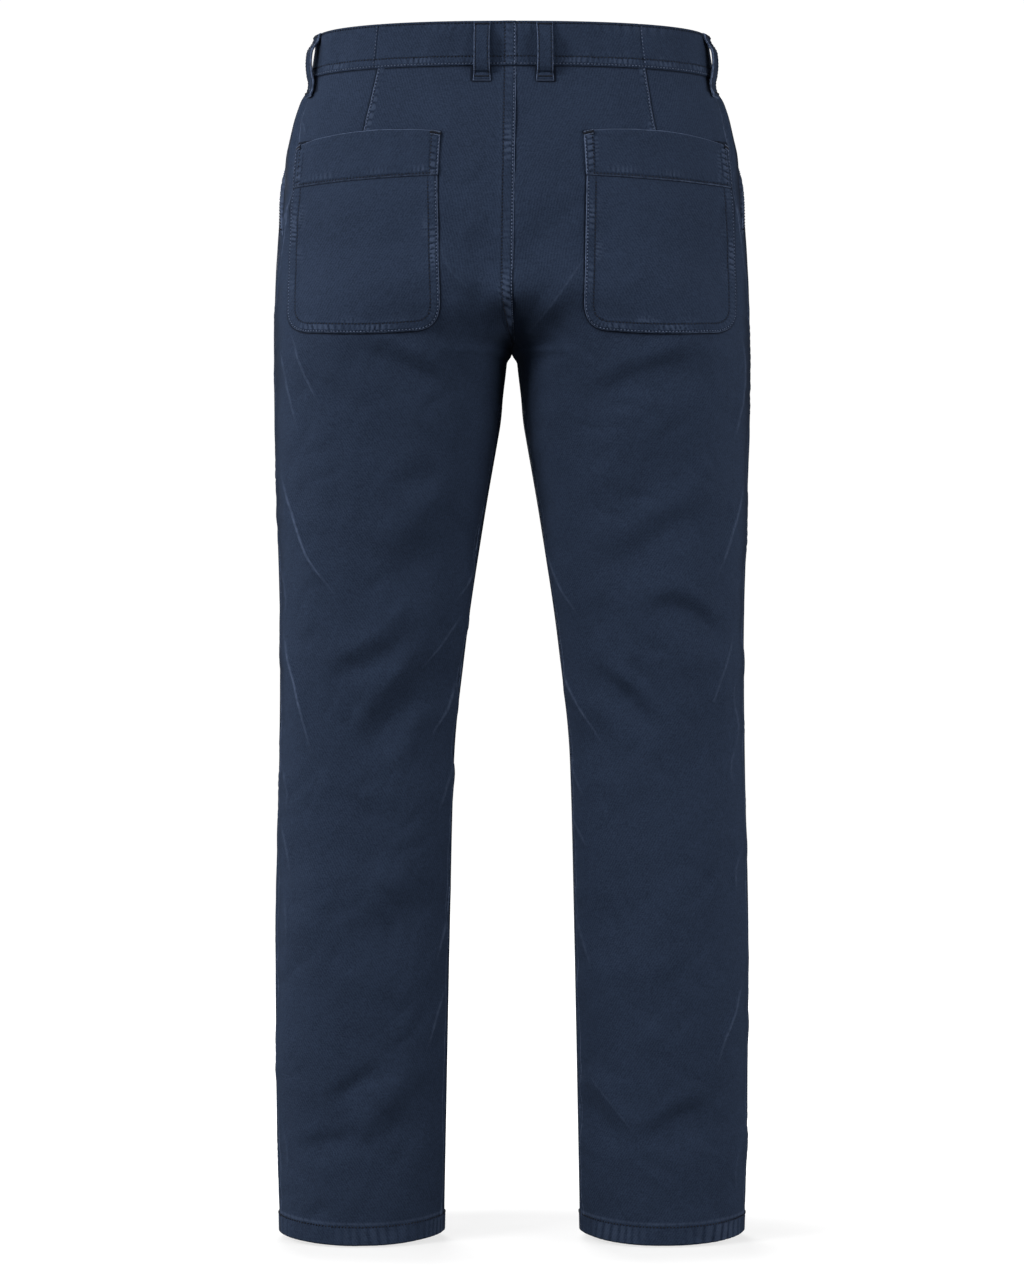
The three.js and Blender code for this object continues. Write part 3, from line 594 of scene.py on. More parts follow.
def stitches(line, normals, width=1.0, length=None, pitch=None, sink=0.12, pale=0.0):
    """Corners of one small rounded bar for each stitch along a line, with how rubbed its thread is.
    width is a share of the thread's."""
    sizes = bpy.context.scene.trousers
    width = width * sizes.thread_width / MM * (1 - 0.3 * pale)
    pitch = pitch or sizes.stitch_pitch / MM
    length = length or sizes.stitch_pitch / MM * 0.55
    reached = np.concatenate([[0], np.cumsum(np.linalg.norm(np.diff(line, axis=0), axis=1))])
    count = int((reached[-1] - pitch * 0.4) // pitch)
    if count < 1:
        return np.zeros((0, STITCH_CORNERS, 4))
    start = (np.arange(count) + 0.5) * reached[-1] / count - length / 2

    def at(s, values):
        return np.stack([np.interp(s, reached, values[:, c]) for c in range(3)], axis=-1)

    first, last = at(start, line), at(start + length, line)
    middle = at(start + length / 2, line)
    up = unit(at(start + length / 2, normals))
    along = unit(last - first)
    side = unit(np.cross(along, up))
    corners = []
    for centre, size, lift in ((first, 0.55, -sink), (middle, 1.0, width * 0.45), (last, 0.55, -sink)):
        for across, rise in ((1, 0), (0, 0.8), (-1, 0), (0, -0.8)):
            corners.append(centre + side * across * width * size + up * (rise * width * size + lift))
    corners = np.stack(corners, axis=1)
    return np.concatenate([corners, np.full_like(corners[..., :1], pale)], axis=-1)


def edge_row(sheet, distance, edge, part=slice(None), **thread):
    """Stitches over part of a sheet, given as points and normals, at a distance in from its edge."""
    line, out = traced(*sheet, distance, edge)
    return stitches(line[part], out[part], **thread)


def sew(name, rows):
    """Joins rows of stitches into one piece of thread."""
    corners = np.concatenate([row for row in rows if len(row)])
    faces = [tuple(k * STITCH_CORNERS + c for c in face[::-1])
             for k in range(len(corners)) for face in STITCH_FACES]
    mesh = bpy.data.meshes.new(name)
    mesh.from_pydata(corners[..., :3].reshape(-1, 3) * MM, [], faces)
    mesh.update()
    pale = mesh.attributes.new("pale", "FLOAT", "POINT")
    pale.data.foreach_set("value", corners[..., 3].ravel().astype(np.float32))
    piece = finish_piece(name, mesh, material_of(core_spun_thread))
    return piece


def bar_tack(place, across, out, width, height, count, framed=False):
    """Close zigzag of thread over a strain point, as short rows side by side. A framed one has
    rubbed pale along its two long edges."""
    lines = []
    up = unit(np.cross(out, across))
    if framed:
        for edge in (-0.75, 0.75):
            at = place + up * edge * height
            ends = np.array([at - across * width / 2, at + across * width / 2])
            lines.append(stitches(ends, np.array([out, out]), length=1.3, pitch=1.4, pale=1.0))
    for k in range(count):
        at = place + across * (k / (count - 1) - 0.5) * width
        ends = np.array([at - up * height / 2, at + up * height / 2])
        lines.append(stitches(ends, np.array([out, out]), width=0.95, length=height,
                              pitch=height * 0.6))
    return lines


# ---------------------------------------------------------------- materials

EASED = {"interpolation_type": "SMOOTHSTEP"}
COLOURED = {"out": 2, "data_type": "RGBA"}
TIMES = {"operation": "MULTIPLY"}
PLUS_SHARE = {"operation": "MULTIPLY_ADD"}


def add_node(tree, kind, inputs=None, out=0, **settings):
    """Adds a node with its settings and returns one of its outputs. inputs maps its sockets to
    values, or to the outputs they are linked from."""
    node = tree.nodes.new("ShaderNode" + kind)
    for key, value in settings.items():
        setattr(node, key, value)
    for socket, value in (inputs or {}).items():
        if isinstance(value, bpy.types.NodeSocket):
            tree.links.new(value, node.inputs[socket])
        else:
            node.inputs[socket].default_value = value
    return node.outputs[out] if node.outputs else None


def new_material(name):
    """Empty material, and what adds a node to it."""
    material = bpy.data.materials.new(name)
    material.use_nodes = True
    material.node_tree.nodes.clear()
    return material, partial(add_node, material.node_tree)


def surfaced(material, inputs):
    """Gives a material its output, and its shader with the inputs given."""
    surface = add_node(material.node_tree, "BsdfPrincipled", inputs)
    add_node(material.node_tree, "OutputMaterial", {"Surface": surface})
    return material


def paint(code):
    """Colour of an sRGB hex value, as a node's socket takes it."""
    return (*hex_colour(code), 1)


def cotton_twill(settings):
    """Piece-dyed navy cotton twill, washed after sewing: matt and slightly hairy, with a fine
    diagonal grain, paler on rubbed edges and crests. Shade is painted into its colour along
    stitch rows, in the valleys of gathers, beside other layers and where it is seen edge-on."""
    material, add = new_material("washed_cotton_twill")
    worn, painted_shade = (*settings.worn_colour, 1), (*settings.painted_shade_colour, 1)
    place = add("TexCoord", out="Object")
    cloth = add("UVMap", out="UV", uv_map="Cloth")
    edge, run, row_a, row_b, crease, crease_wear, standing, outside = (
        add("Attribute", out="Fac", attribute_name=name) for name in
        ("edge_in", "edge_run", "row_a", "row_b", "crease", "crease_wear", "standing", "under_edge"))

    # twill lines 2.2 mm apart at 60 degrees, three times as coarse as the real ones so that they
    # show, broken up by flecks of yarn 1.5 mm long and crossed by a fainter weft
    turned = add("Mapping", {"Vector": cloth, "Rotation": (0, 0, math.radians(30))})
    lines = add("TexWave", {"Vector": turned, "Scale": math.tau / 20 / (2.2 * MM), "Distortion": 2.5,
                            "Detail": 2.0, "Detail Scale": 3.0},
                out="Fac", wave_type="BANDS", bands_direction="X")
    drawn = add("Mapping", {"Vector": cloth, "Scale": (90, 620, 1)})
    weft = add("TexNoise", {"Vector": drawn, "Scale": 1, "Detail": 1, "Roughness": 0.5}, out="Fac")
    # dye: clouds 60 mm across and mottle of 6 mm, both faint
    flecks, clouds, mottle = (
        add("TexNoise", {"Vector": place, "Scale": scale, "Detail": 2, "Roughness": rough}, out="Fac")
        for scale, rough in ((680, 0.75), (16, 0.5), (160, 0.6)))
    tone = add("Math", {0: clouds, 1: 0.1}, **TIMES)
    for grain, share in ((mottle, 0.08), (flecks, 0.62), (weft, 0.1), (lines, 0.11)):
        tone = add("Math", {0: grain, 1: share, 2: tone}, **PLUS_SHARE)
    tone = add("MapRange", {0: tone, 1: 0.32, 2: 0.68}, **EASED)
    colour = add("Mix", {0: tone, 6: (*settings.shade_colour, 1), 7: (*settings.cloth_colour, 1)},
                 **COLOURED)

    # gathers rub pale on top, and painted shade darkens their valleys
    top = add("MapRange", {0: standing, 1: 0.02, 2: 0.4, 3: 0.0, 4: 0.2}, **EASED)
    painted_valley_shade = add("MapRange", {0: standing, 1: -0.02, 2: -0.4, 3: 0.0, 4: 0.5}, **EASED)

    # rubbing along sewn edges is under a millimetre wide, and comes and goes every few millimetres
    along = add("CombineXYZ", {0: run, 1: edge})
    patchy = add("TexNoise", {"Vector": along, "Scale": 0.2, "Detail": 2}, out="Fac")
    patchy = add("MapRange", {0: patchy, 1: 0.3, 2: 0.62, 3: 0.3, 4: 1.0}, **EASED)
    rubbed = add("MapRange", {0: edge, 1: 0.35, 2: 1.05, 3: 1.0, 4: 0.0}, **EASED)
    rubbed = add("Math", {0: rubbed, 1: patchy}, **TIMES)
    # crests of the pressed creases, two millimetres wide and broken
    crest = add("Math", {0: crease}, operation="ABSOLUTE")
    crest = add("MapRange", {0: crest, 1: 0.1, 2: 1.6, 3: 1.0, 4: 0.0}, **EASED)
    broken = add("MapRange", {0: mottle, 1: 0.35, 2: 0.65, 3: 0.25, 4: 0.55}, **EASED)
    for share in (crease_wear, broken):
        crest = add("Math", {0: crest, 1: share}, **TIMES)
    rubbed = add("Math", {0: rubbed, 1: crest}, operation="MAXIMUM")
    rubbed = add("Math", {0: rubbed, 1: 0.7}, **TIMES)

    # each stitch row pulls the cloth in along a line, most at the needle holes: the line dents the
    # bump, and is painted in as shade
    holes = add("Math", {0: run, 1: math.tau / (settings.stitch_pitch / MM)}, **TIMES)
    holes = add("Math", {0: holes}, operation="SINE")
    holes = add("MapRange", {0: holes, 1: -0.4, 2: 0.8, 3: 0.3, 4: 1.0}, **EASED)
    pulled = None
    for row in (row_a, row_b):
        apart = add("Math", {0: edge, 1: row}, operation="SUBTRACT")
        apart = add("Math", {0: apart}, operation="ABSOLUTE")
        line = add("MapRange", {0: apart, 1: 0.35, 2: 1.2, 3: 1.0, 4: 0.0}, **EASED)
        pulled = line if pulled is None else add("Math", {0: pulled, 1: line}, operation="MAXIMUM")
    pulled = add("Math", {0: pulled, 1: holes}, **TIMES)
    dark = add("Math", {0: pulled, 1: 0.5}, **TIMES)
    # painted shadow beside the edge of an upper layer
    beside = add("MapRange", {0: outside, 1: 0.6, 2: 2.4, 3: 0.85, 4: 0.0}, **EASED)
    # painted shade where the cloth is seen edge-on
    painted_edge_shade = add("LayerWeight", {"Blend": 0.5}, out="Facing")
    painted_edge_shade = add("MapRange", {0: painted_edge_shade, 1: 0.62, 2: 0.9, 3: 0.0, 4: 0.75}, **EASED)
    # the two pale mixes are rubbed wear, and the four dark ones are painted shade
    for share, tint in ((top, worn), (painted_valley_shade, painted_shade), (rubbed, worn), (dark, painted_shade), (beside, painted_shade),
                        (painted_edge_shade, painted_shade)):
        colour = add("Mix", {0: share, 6: colour, 7: tint}, **COLOURED)

    # gathers too fine for the mesh, drawn out across each sewn edge
    gather = add("Mapping", {"Vector": along, "Scale": (0.3, 0.06, 1)})
    gather = add("TexNoise", {"Vector": gather, "Scale": 1, "Detail": 2, "Roughness": 0.55}, out="Fac")
    near = add("MapRange", {0: edge, 1: 1.0, 2: 16, 3: 1.0, 4: 0.0}, **EASED)
    gather = add("Math", {0: gather, 1: near}, **TIMES)
    relief = add("Math", {0: lines, 1: 0.05}, **TIMES)
    for height, share in ((flecks, 0.35), (weft, 0.08), (mottle, 0.18), (gather, 1.5), (pulled, -0.3)):
        relief = add("Math", {0: height, 1: share, 2: relief}, **PLUS_SHARE)
    bump = add("Bump", {"Strength": 0.7, "Distance": MM, "Height": relief})
    return surfaced(material, {
        "Base Color": colour, "Normal": bump, "Roughness": 0.9, "Specular IOR Level": 0.1,
        "Sheen Weight": 0.12, "Sheen Roughness": 0.45, "Sheen Tint": paint("#8fa3c4")})


def core_spun_thread(settings):
    """Core-spun polyester sewing thread, dyed to match and a little smoother than the cloth. Rows
    at an edge are rubbed pale, and the rest stay dark."""
    material, add = new_material("core_spun_thread")
    place = add("TexCoord", out="Object")
    # fray of 2.4 mm, coarser than the fibres so that it shows
    fray = add("TexNoise", {"Vector": place, "Scale": 420, "Detail": 2, "Roughness": 0.6}, out="Fac")
    broken = add("MapRange", {0: fray, 1: 0.3, 2: 0.6, 3: 0.45, 4: 1.0}, **EASED)
    rubbed = add("Attribute", out="Fac", attribute_name="pale")
    rubbed = add("Math", {0: rubbed, 1: broken}, **TIMES)
    colour = add("Mix", {0: rubbed, 6: (*settings.thread_colour, 1), 7: (*settings.worn_colour, 1)},
                 **COLOURED)
    bump = add("Bump", {"Strength": 0.4, "Distance": 0.3 * MM, "Height": fray})
    return surfaced(material, {"Base Color": colour, "Normal": bump, "Roughness": 0.7,
                               "Specular IOR Level": 0.3})


def urea_resin(settings):
    """Moulded urea-resin button, tumbled to a satin: near black, with faint paler clouding."""
    material, add = new_material("tumbled_urea_resin")
    place = add("TexCoord", out="Object")
    # clouding of 4 mm and tumbling scuffs of 0.7 mm
    cloud, scuff = (
        add("TexNoise", {"Vector": place, "Scale": size, "Detail": detail, "Roughness": 0.6}, out="Fac")
        for size, detail in ((260, 3), (1500, 2)))
    cloud = add("MapRange", {0: cloud, 1: 0.42, 2: 0.75}, **EASED)
    colour = add("Mix", {0: cloud, 6: (*settings.button_colour, 1), 7: paint("#3a4048")}, **COLOURED)
    satin = add("MapRange", {0: scuff, 1: 0.3, 2: 0.7, 3: 0.32, 4: 0.48}, **EASED)
    bump = add("Bump", {"Strength": 0.15, "Distance": 0.1 * MM, "Height": scuff})
    return surfaced(material, {"Base Color": colour, "Normal": bump, "Roughness": satin})


def matt_paper(name, shade):
    """Matt white studio paper, lit to pure white. shade is how much of its white it owes to the
    softboxes close to the hems, so that only a narrow contact shadow shows there."""
    material, add = new_material(name)
    place = add("TexCoord", out="Object")
    away = add("Mapping", {"Vector": place, "Scale": (0.45, 1, 1)})
    away = add("VectorMath", {0: away}, out="Value", operation="LENGTH")
    glow = add("MapRange", {0: away, 1: 0.11, 2: 0.24, 3: 1.0 - shade, 4: 1.0}, **EASED)
    return surfaced(material, {
        "Base Color": paint("#9a9a9a"), "Roughness": 1.0, "Specular IOR Level": 0.0,
        "Emission Color": (1, 1, 1, 1), "Emission Strength": glow})


MATERIALS = {}


def material_of(kind):
    """The garment's materials, each made once."""
    settings = bpy.context.scene.trousers
    if kind not in MATERIALS:
        MATERIALS[kind] = kind(settings)
    return MATERIALS[kind]


def cloth_piece(name, nodes, surface, ring=False):
    """Builds a cloth piece from its shown and hidden face, layers and uv, hides the CAD walls it
    stands for, and gives its shown face with the normals."""
    shown, hidden, layers, uv = surface
    piece = shell(name, shown, hidden, material_of(cotton_twill), layers, uv, ring)
    if nodes:
        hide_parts(*nodes)
    return shown, grid_normals(shown) * facing_sign(shown, hidden)


# ---------------------------------------------------------------- panels

SIDES = ((1, "left"), (-1, "right"))
MOUTH_TOP = BAND_SEAM + 6
MOUTH_END = -168
MOUTH_WAIST = 0.42
MOUTH_SIDE = 0.01
UNDERLAP = 26
HEM_SIDE_LIFT = 5
FLY_LENGTH = 165
FLY_ROWS_APART = 6
# how far in from their edges the stitch rows run
CENTRE_ROWS = (1.9, 10.6)
MOUTH_ROWS = (1.8, 8.0)


def mouth_share(z, underlap=0):
    """Where the slanted pocket mouth crosses a front panel, as a share of its width."""
    end = MOUTH_END - underlap * 0.6
    t = (MOUTH_TOP - z) / (MOUTH_TOP - end)
    share = MOUTH_WAIST * (1 - t) + MOUTH_SIDE * t + underlap / 250
    return np.where(z > end, np.maximum(share, 0), 0)


def panel_rows(torso, leg):
    """Heights of a panel's rows, closer together down to the thigh."""
    top = BAND_SEAM + 1.5
    length = top - HEM - 1

    def step(s):
        return torso + (leg - torso) * float(smooth((s - 330) / 60))
    return top - paced(length, step) * length


def settle(points, angle, z):
    """Lifts the hem a little at the legs' sides, fading out up the leg."""
    lift = HEM_SIDE_LIFT * np.cos(np.radians(angle)) ** 2 * (1 - smooth((z - HEM) / 140))
    return points + UP * lift[..., None]


def held_at_band(z):
    """Share of a fold's height that is left where the waistband's seam holds the cloth."""
    return 0.15 + 0.85 * smooth((BAND_SEAM - z) / 40)


def laid_over(side, x, z):
    """Distance out from the edge of what is sewn on a back panel: seat pocket, dart and belt loop.
    The material paints shadow out from these edges.
    """
    shape = x.shape
    x, z = x.ravel(), z.ravel()
    apart = np.full_like(x, FAR)
    near = np.nonzero(z > -300)[0]
    top = resampled(pocket_band_top(), np.linspace(0, 1, 250))[::-1]
    outline = np.vstack([pocket_outline(), top])
    distance = nearest_on(outline, np.stack([x[near], z[near]], -1))[0]
    apart[near] = np.where(within(outline[::10], x[near], z[near]), -distance, distance)
    for dart_side, _, start, stop in DARTS:
        if dart_side == side:
            along = np.array([stop[0] - start[0], stop[1] - start[1]], float)
            along /= np.hypot(*along)
            out = (x - start[0]) * -along[1] + (z - start[1]) * along[0]
            apart = np.where((z < start[1]) & (z > stop[1]) & (out > -1), np.minimum(apart, out), apart)
    for _, start, stop, *_ in LOOPS[:2]:
        middle = abs(float(form(side, np.array([start, stop]), -30.0)[:, 0].mean()))
        beside = np.maximum(np.abs(x - middle) - LOOP_WIDTH / 2 * (1 if start > 45 else 0.6), 0)
        below = np.maximum(BAND_SEAM - LOOP_BELOW - z, 0)
        apart = np.minimum(apart, np.hypot(beside, below))
    return apart.reshape(shape)


def hip_swell(z):
    """How far the front pocket and its facing belly out over the hip."""
    return smooth((-23 - z) / 20) * (1 - smooth((-84 - z) / 40))


def spanning(side, angle, z, x):
    """Shift of the cloth where it is drawn across the hollow above the fork and round the gap's
    top."""
    at_back = np.sin(np.radians(angle)) >= 0
    taut = smooth((-198 - z) / 40) * smooth((z - CROTCH - 1) / 13) * np.exp(-(x / 24) ** 2)
    inward = smooth((-np.cos(np.radians(angle)) - 0.3) / 0.5)
    apart = 4.2 * smooth((CROTCH - 0.5 - z) / 8) * (1 - smooth((CROTCH - 9 - z) / 60)) * inward
    rise = 2.8 * np.exp(-((z - CROTCH) / 16) ** 2 - (x / 18) ** 2)
    return np.stack([side * apart, np.where(at_back, 17, -11) * taut, rise], -1)


def fly_reach(z):
    """How far the fly's outer row runs from its edge: straight down, then curving in."""
    return 38 * np.sqrt(np.clip(1 - np.clip((BAND_SEAM - z - 118) / 46, 0, 1) ** 2, 0, 1))


def panel(side, face):
    """Body panel from the waistband to the hem, with its folds and sewn edges."""
    back = face == "back"
    z = panel_rows(1.7, 2.7) if back else panel_rows(2.6, 3.4)
    share = edge_paced(290 if back else 250, 1.2 if back else 1.6, 2.6 if back else 3.4)
    z, share = z[:, None], share[None, :]
    if not back:
        first = mouth_share(z)
        share = first + (1 - first) * share
    angle = panel_angle(face, share, z)
    height = np.broadcast_to(z, angle.shape)
    base, normal = form(side, angle, height), form_normal(side, angle, height)
    fade = smooth(np.abs(np.sin(np.radians(angle))) / 0.3)
    folds, crease, wear = folds_at(side, face, np.abs(base[..., 0]), height, fade)
    from_side = lengths_along(base, 1)
    from_inner = from_side[:, -1:] - from_side
    run = -height + 0 * from_side
    at_centre = height > CROTCH
    nearer_inner = from_inner < from_side
    edge = np.minimum(from_inner, from_side)
    relief, standing = np.zeros_like(folds), np.zeros_like(folds)
    row_a, row_b = np.full_like(folds, NO_ROW), np.full_like(folds, NO_ROW)

    # centre seam: the left side's edge is folded, laid over the right and sewn down
    rows = CENTRE_ROWS if back else (CENTRE_ROWS[0], NO_ROW)
    lapped = at_centre & (side > 0)
    fade_out = smooth((height - CROTCH + 4) / 12)
    if back:
        strip, gathers = sewn_strip(from_inner, run, CENTRE_ROWS, 6.1, 1.3, tail=4)
        lap = strip + 1.1 * (1 - smooth((from_inner - 11) / 5))
    else:
        lap, gathers = (1.0 * (1 - smooth((from_inner - 6) / 6)) - 1.0 * (1 - smooth(from_inner / 0.9))
                        - 0.4 * groove(from_inner, rows[0])), 0
    relief += np.where(lapped, lap, 0) * fade_out
    standing += np.where(lapped, gathers, 0) * fade_out
    row_a = np.where(lapped & nearer_inner, rows[0], row_a)
    row_b = np.where(lapped & nearer_inner, rows[1], row_b)
    beneath = at_centre & (side < 0)
    relief += np.where(beneath, -0.9 * (1 - smooth(from_inner / 3)), 0) * fade_out

    # inseam and side seam: the back's edge lies over the front's, and both gather along it
    lip = 0.75 if back else -0.5
    below_fork = smooth((CROTCH - 6 - height) / 40)
    for away, weight, seed in ((from_inner, below_fork, 0.7), (from_side, 1.0, 2.9)):
        if not back and away is from_side:
            weight = np.where(height > MOUTH_END, 0.0, 1.0)
        there = smooth(0.5 + 0.9 * np.sin(run / 41 + seed) * np.sin(run / 17 + 2 * seed))
        slant = run + 0.4 * away * np.sin(run / 29)
        swells = (pucker(slant, 7.5, seed + side) - 0.5) * smooth(away / 1.5)
        swells = swells * (1 - smooth((away - 2) / 9)) * (0.25 + 0.75 * there)
        relief += weight * (lip * np.exp(-(away / 1.7) ** 2) - 0.5 * (1 - smooth(away / 0.7)) + swells)
        standing += weight * 0.35 * swells
        if back:
            # the seam's turnings ridge the cloth over them, and the ridge rubs pale
            ridge = away - 4.3 - 0.7 * np.sin(run / 13 + seed) * there
            relief += weight * 0.3 * np.exp(-(ridge / 1.4) ** 2)
            rubbed = weight * (0.65 + 0.4 * there) * (np.abs(ridge) < 2)
            crease, wear = np.where(rubbed > wear, ridge, crease), np.maximum(rubbed, wear)
    # where the material paints shadow: out from what is sewn on a back panel, and beside the lapped
    # edge
    under = np.full_like(folds, FAR)
    if back:
        under = laid_over(side, np.abs(base[..., 0]), height)
        under = np.where(beneath, np.minimum(under, from_inner * 1.2), under)
    else:
        # pocket mouth: folded edge, sewn twice, standing a little off the facing
        mouth = height > MOUTH_END
        down = np.clip((MOUTH_TOP - height) / (MOUTH_TOP - MOUTH_END), 0, 1)
        slack = 1.4 * np.sin(down * math.pi) + hip_swell(height)
        strip, gathers = sewn_strip(from_side, run, MOUTH_ROWS, 7, 5.1)
        opening = (slack * (1 - smooth((from_side - 2) / 22)) + 0.5 * (1 - smooth((from_side - 8) / 4))
                   + 0.7 * strip)
        relief += np.where(mouth, opening, 0)
        standing += np.where(mouth, gathers, 0)
        row_a = np.where(mouth & ~nearer_inner, MOUTH_ROWS[0], row_a)
        row_b = np.where(mouth & ~nearer_inner, MOUTH_ROWS[1], row_b)
        edge = np.where(mouth | nearer_inner, edge, edge + 3)
        if side > 0:
            fly = (height > BAND_SEAM - FLY_LENGTH) & (from_inner > 8) & nearer_inner
            row_a = np.where(fly, fly_reach(height) - FLY_ROWS_APART, row_a)
            row_b = np.where(fly, fly_reach(height), row_b)
    # painted shadow also runs below the waistband's seam
    under = np.minimum(under, np.maximum(BAND_SEAM - 0.7 - height, 0))
    # the cloth rolls pale above the hem's row
    standing += 0.3 * groove(height, HEM + HEM_ROW + 2.6, 1.0) * (0.5 + pucker(from_side, 6, 1.1))
    # the waistband's seam holds the top in
    hang = smooth((BAND_SEAM - height) / 9)
    held = (pucker(from_side + side * 3, 9, 3.3) - 0.5) * (1 - smooth((BAND_SEAM - height) / 18)) * hang
    relief = relief * (0.3 + 0.7 * hang) + 0.5 * held
    folds = folds * held_at_band(height)
    base = base + spanning(side, angle, height, np.abs(base[..., 0]))
    shown = settle(base + normal * (folds + relief)[..., None], angle, height)
    hidden = settle(base + normal * (folds - CLOTH)[..., None], angle, height)
    if side < 0:
        # its edge runs on beneath the left side's
        for column, reach in ((-2, 1.0), (-1, 3.2)):
            for surface in (shown, hidden):
                surface[:, column] += np.array([1, -0.25, 0]) * reach * fade_out[:, column:][:, :1]
    uv = np.stack([from_side, -height + 0 * from_side], -1) * MM
    edge = np.where(beneath & nearer_inner, edge + 3, edge)
    layers = layers_of(folds.shape, edge, run, row_a, row_b, crease, wear, standing, under)
    return (shown, hidden, layers, uv), height[:, 0]


def build_panels(face):
    """Both panels of one face, with the rows sewn into them."""
    back = face == "back"
    rows = []
    for side, name in SIDES:
        surface, height = panel(side, face)
        sheet = cloth_piece(f"{face}_panel_{name}", [f"{face}_{name}"], surface)
        if side > 0:
            above = height > CROTCH + 6
            for distance in CENTRE_ROWS if back else CENTRE_ROWS[:1]:
                rows.append(edge_row(sheet, distance, "right", above, pale=distance == CENTRE_ROWS[0]))
        if not back:
            mouth = (height > MOUTH_END + 2) & (height < BAND_SEAM)
            for distance in MOUTH_ROWS:
                rows.append(edge_row(sheet, distance, "left", mouth, pale=distance == MOUTH_ROWS[0]))
            if side > 0:
                # the fly's curved row
                fly = (height > BAND_SEAM - FLY_LENGTH) & (height < BAND_SEAM)
                for inset in (0, FLY_ROWS_APART):
                    reach = np.maximum(fly_reach(height) - inset, 1)
                    rows.append(edge_row(sheet, reach, "right", fly))
    sew(f"stitches_{face}", rows)


# ---------------------------------------------------------------- hems

HEM_ROW = 17.6


def hem(side):
    """Turned-up hem all round one leg: a roped tube whose top is pulled in by its stitch row."""
    around = np.linspace(0, 360, 2 * 190 + 1)
    up = np.array([*np.linspace(0, 2.4, 6), *np.linspace(3.4, HEM_ROW - 1.4, 14),
                   *np.linspace(HEM_ROW - 0.9, HEM_ROW + 2.1, 9)])[::-1]
    angle, height = np.meshgrid(around, up)
    z = HEM + height
    base, normal = form(side, angle, z), form_normal(side, angle, z, True)
    reached = lengths_along(base, 1)
    sine = np.sin(np.radians(angle))
    fade = smooth(np.abs(sine) / 0.3)
    back, front = (folds_at(side, face, np.abs(base[..., 0]), z, fade)[0] for face in ("back", "front"))
    folds = np.where(sine >= 0, back, front)
    sway = (0.12 * height * np.sin(reached / 19 + side) + 2.6 * np.sin(reached / 31 + side)
            + 1.3 * np.sin(reached / 7.3))
    at_sides = 0.55 + 0.45 * np.abs(np.cos(np.radians(angle)))
    standing = (pucker(reached + sway, 8.4, 1.9 + 2.3 * side) - 0.5)
    standing = standing * smooth((HEM_ROW - 0.3 - height) / 2) * at_sides
    bulge = 0.6 + 0.9 * standing
    pull = -0.8 * groove(height, HEM_ROW, 0.8)
    fold_under = -1.2 * (1 - smooth(height / 1.5)) ** 2
    tuck = -0.9 * smooth((height - HEM_ROW - 0.6) / 1.2)
    seams = 0
    for seam in (12, 168):
        at = np.array([np.interp(seam, around, reached[0])])
        seams = seams - 0.8 * np.exp(-((reached - at) / 1.1) ** 2)
    relief = bulge * smooth((HEM_ROW + 1.4 - height) / 1.6) + pull + fold_under + tuck + seams
    lining = folds - 2.8 + 0.7 * (1 - smooth(height / 1.5))
    shown, hidden = (settle(base + normal * over[..., None], angle, z)
                     for over in (folds + relief, lining))
    for surface in (shown, hidden):
        surface[:, -1] = surface[:, 0]
    worn = 0.5 * groove(height, HEM_ROW + 1.5, 0.5) * (0.3 + pucker(reached, 6, 1.1))
    layers = layers_of(z.shape, height + 0.4, reached, HEM_ROW + 0.4, high=0.7 * standing + worn)
    uv = np.stack([reached, -z], -1) * MM
    return shown, hidden, layers, uv


def build_hems():
    """Both hems, each with its row."""
    rows = []
    for side, name in SIDES:
        sheet = cloth_piece(f"hem_{name}", [], hem(side),
                            ring=True)
        rows.append(edge_row(sheet, HEM_ROW, "bottom", width=1.5))
    sew("stitches_hems", rows)


# ---------------------------------------------------------------- darts

# side, top and bottom of a dart's edge: distance from the centre plane, and height
DARTS = (
    (1, "left", (121, -20.5), (134.7, -82)),
    (-1, "right", (120.3, -20.5), (129.8, -82)),
)
DART_ALLOWANCE = 10
DART_ROW = 1.7


def dart(side, top, bottom):
    """Pressed fold of a dart: one crisp edge, sinking back into the panel towards the centre."""
    down = paced(61, lambda s: 1.0)[:, None]
    across = edge_paced(DART_ALLOWANCE, 0.35, 0.8, 12, 0)[None, :] * DART_ALLOWANCE
    x = top[0] + (bottom[0] - top[0]) * down - across
    z = top[1] + (bottom[1] - top[1]) * down + 0 * across
    base, normal = back_place(side, x, z)
    folds = folds_at(side, "back", x, z)[0] * held_at_band(z)
    run = down * 62 + 0 * across
    standing = (pucker(run, 6.5, side * 2.2) - 0.5) * smooth((across - 1.5) / 1.5)
    standing = standing * (1 - smooth((across - 4) / 4))
    rise = (0.6 - 1.0 * smooth((across - 1.5) / 8) - 0.5 * (1 - smooth(across / 0.7))
            - 0.25 * groove(across, DART_ROW, 0.5) + 0.3 * standing)
    shown = base + normal * (folds + rise)[..., None]
    hidden = base + normal * (folds - 0.9)[..., None]
    layers = layers_of(run.shape, across + 0 * down, run, DART_ROW, high=standing)
    uv = np.stack([x, -z], -1) * MM
    return shown, hidden, layers, uv


def build_darts():
    """Both darts, each with its row."""
    rows = []
    for side, name, top, bottom in DARTS:
        sheet = cloth_piece(f"dart_{name}", [], dart(side, top, bottom))
        rows.append(edge_row(sheet, DART_ROW, "left", width=0.9, pale=0.8))
    sew("stitches_darts", rows)


# ---------------------------------------------------------------- seat pockets

POCKET = dict(inner_top=67.5, inner_bottom=64.5, outer_top=194, outer_bottom=203,
              top=-84, bottom=-262, bow=4, corner=26)
POCKET_CLOTH = 1.6
# rows down a pocket's sides, and the one along the foot of its band
ROWS_IN = (1.7, 8.3)
BAND_FOOT_ROW = 2.0


def quadratic(a, b, c, t):
    """Points of a curve from a to c that is drawn towards b."""
    t = np.asarray(t)[:, None]
    return np.array(a) * (1 - t) ** 2 + 2 * np.array(b) * t * (1 - t) + np.array(c) * t**2


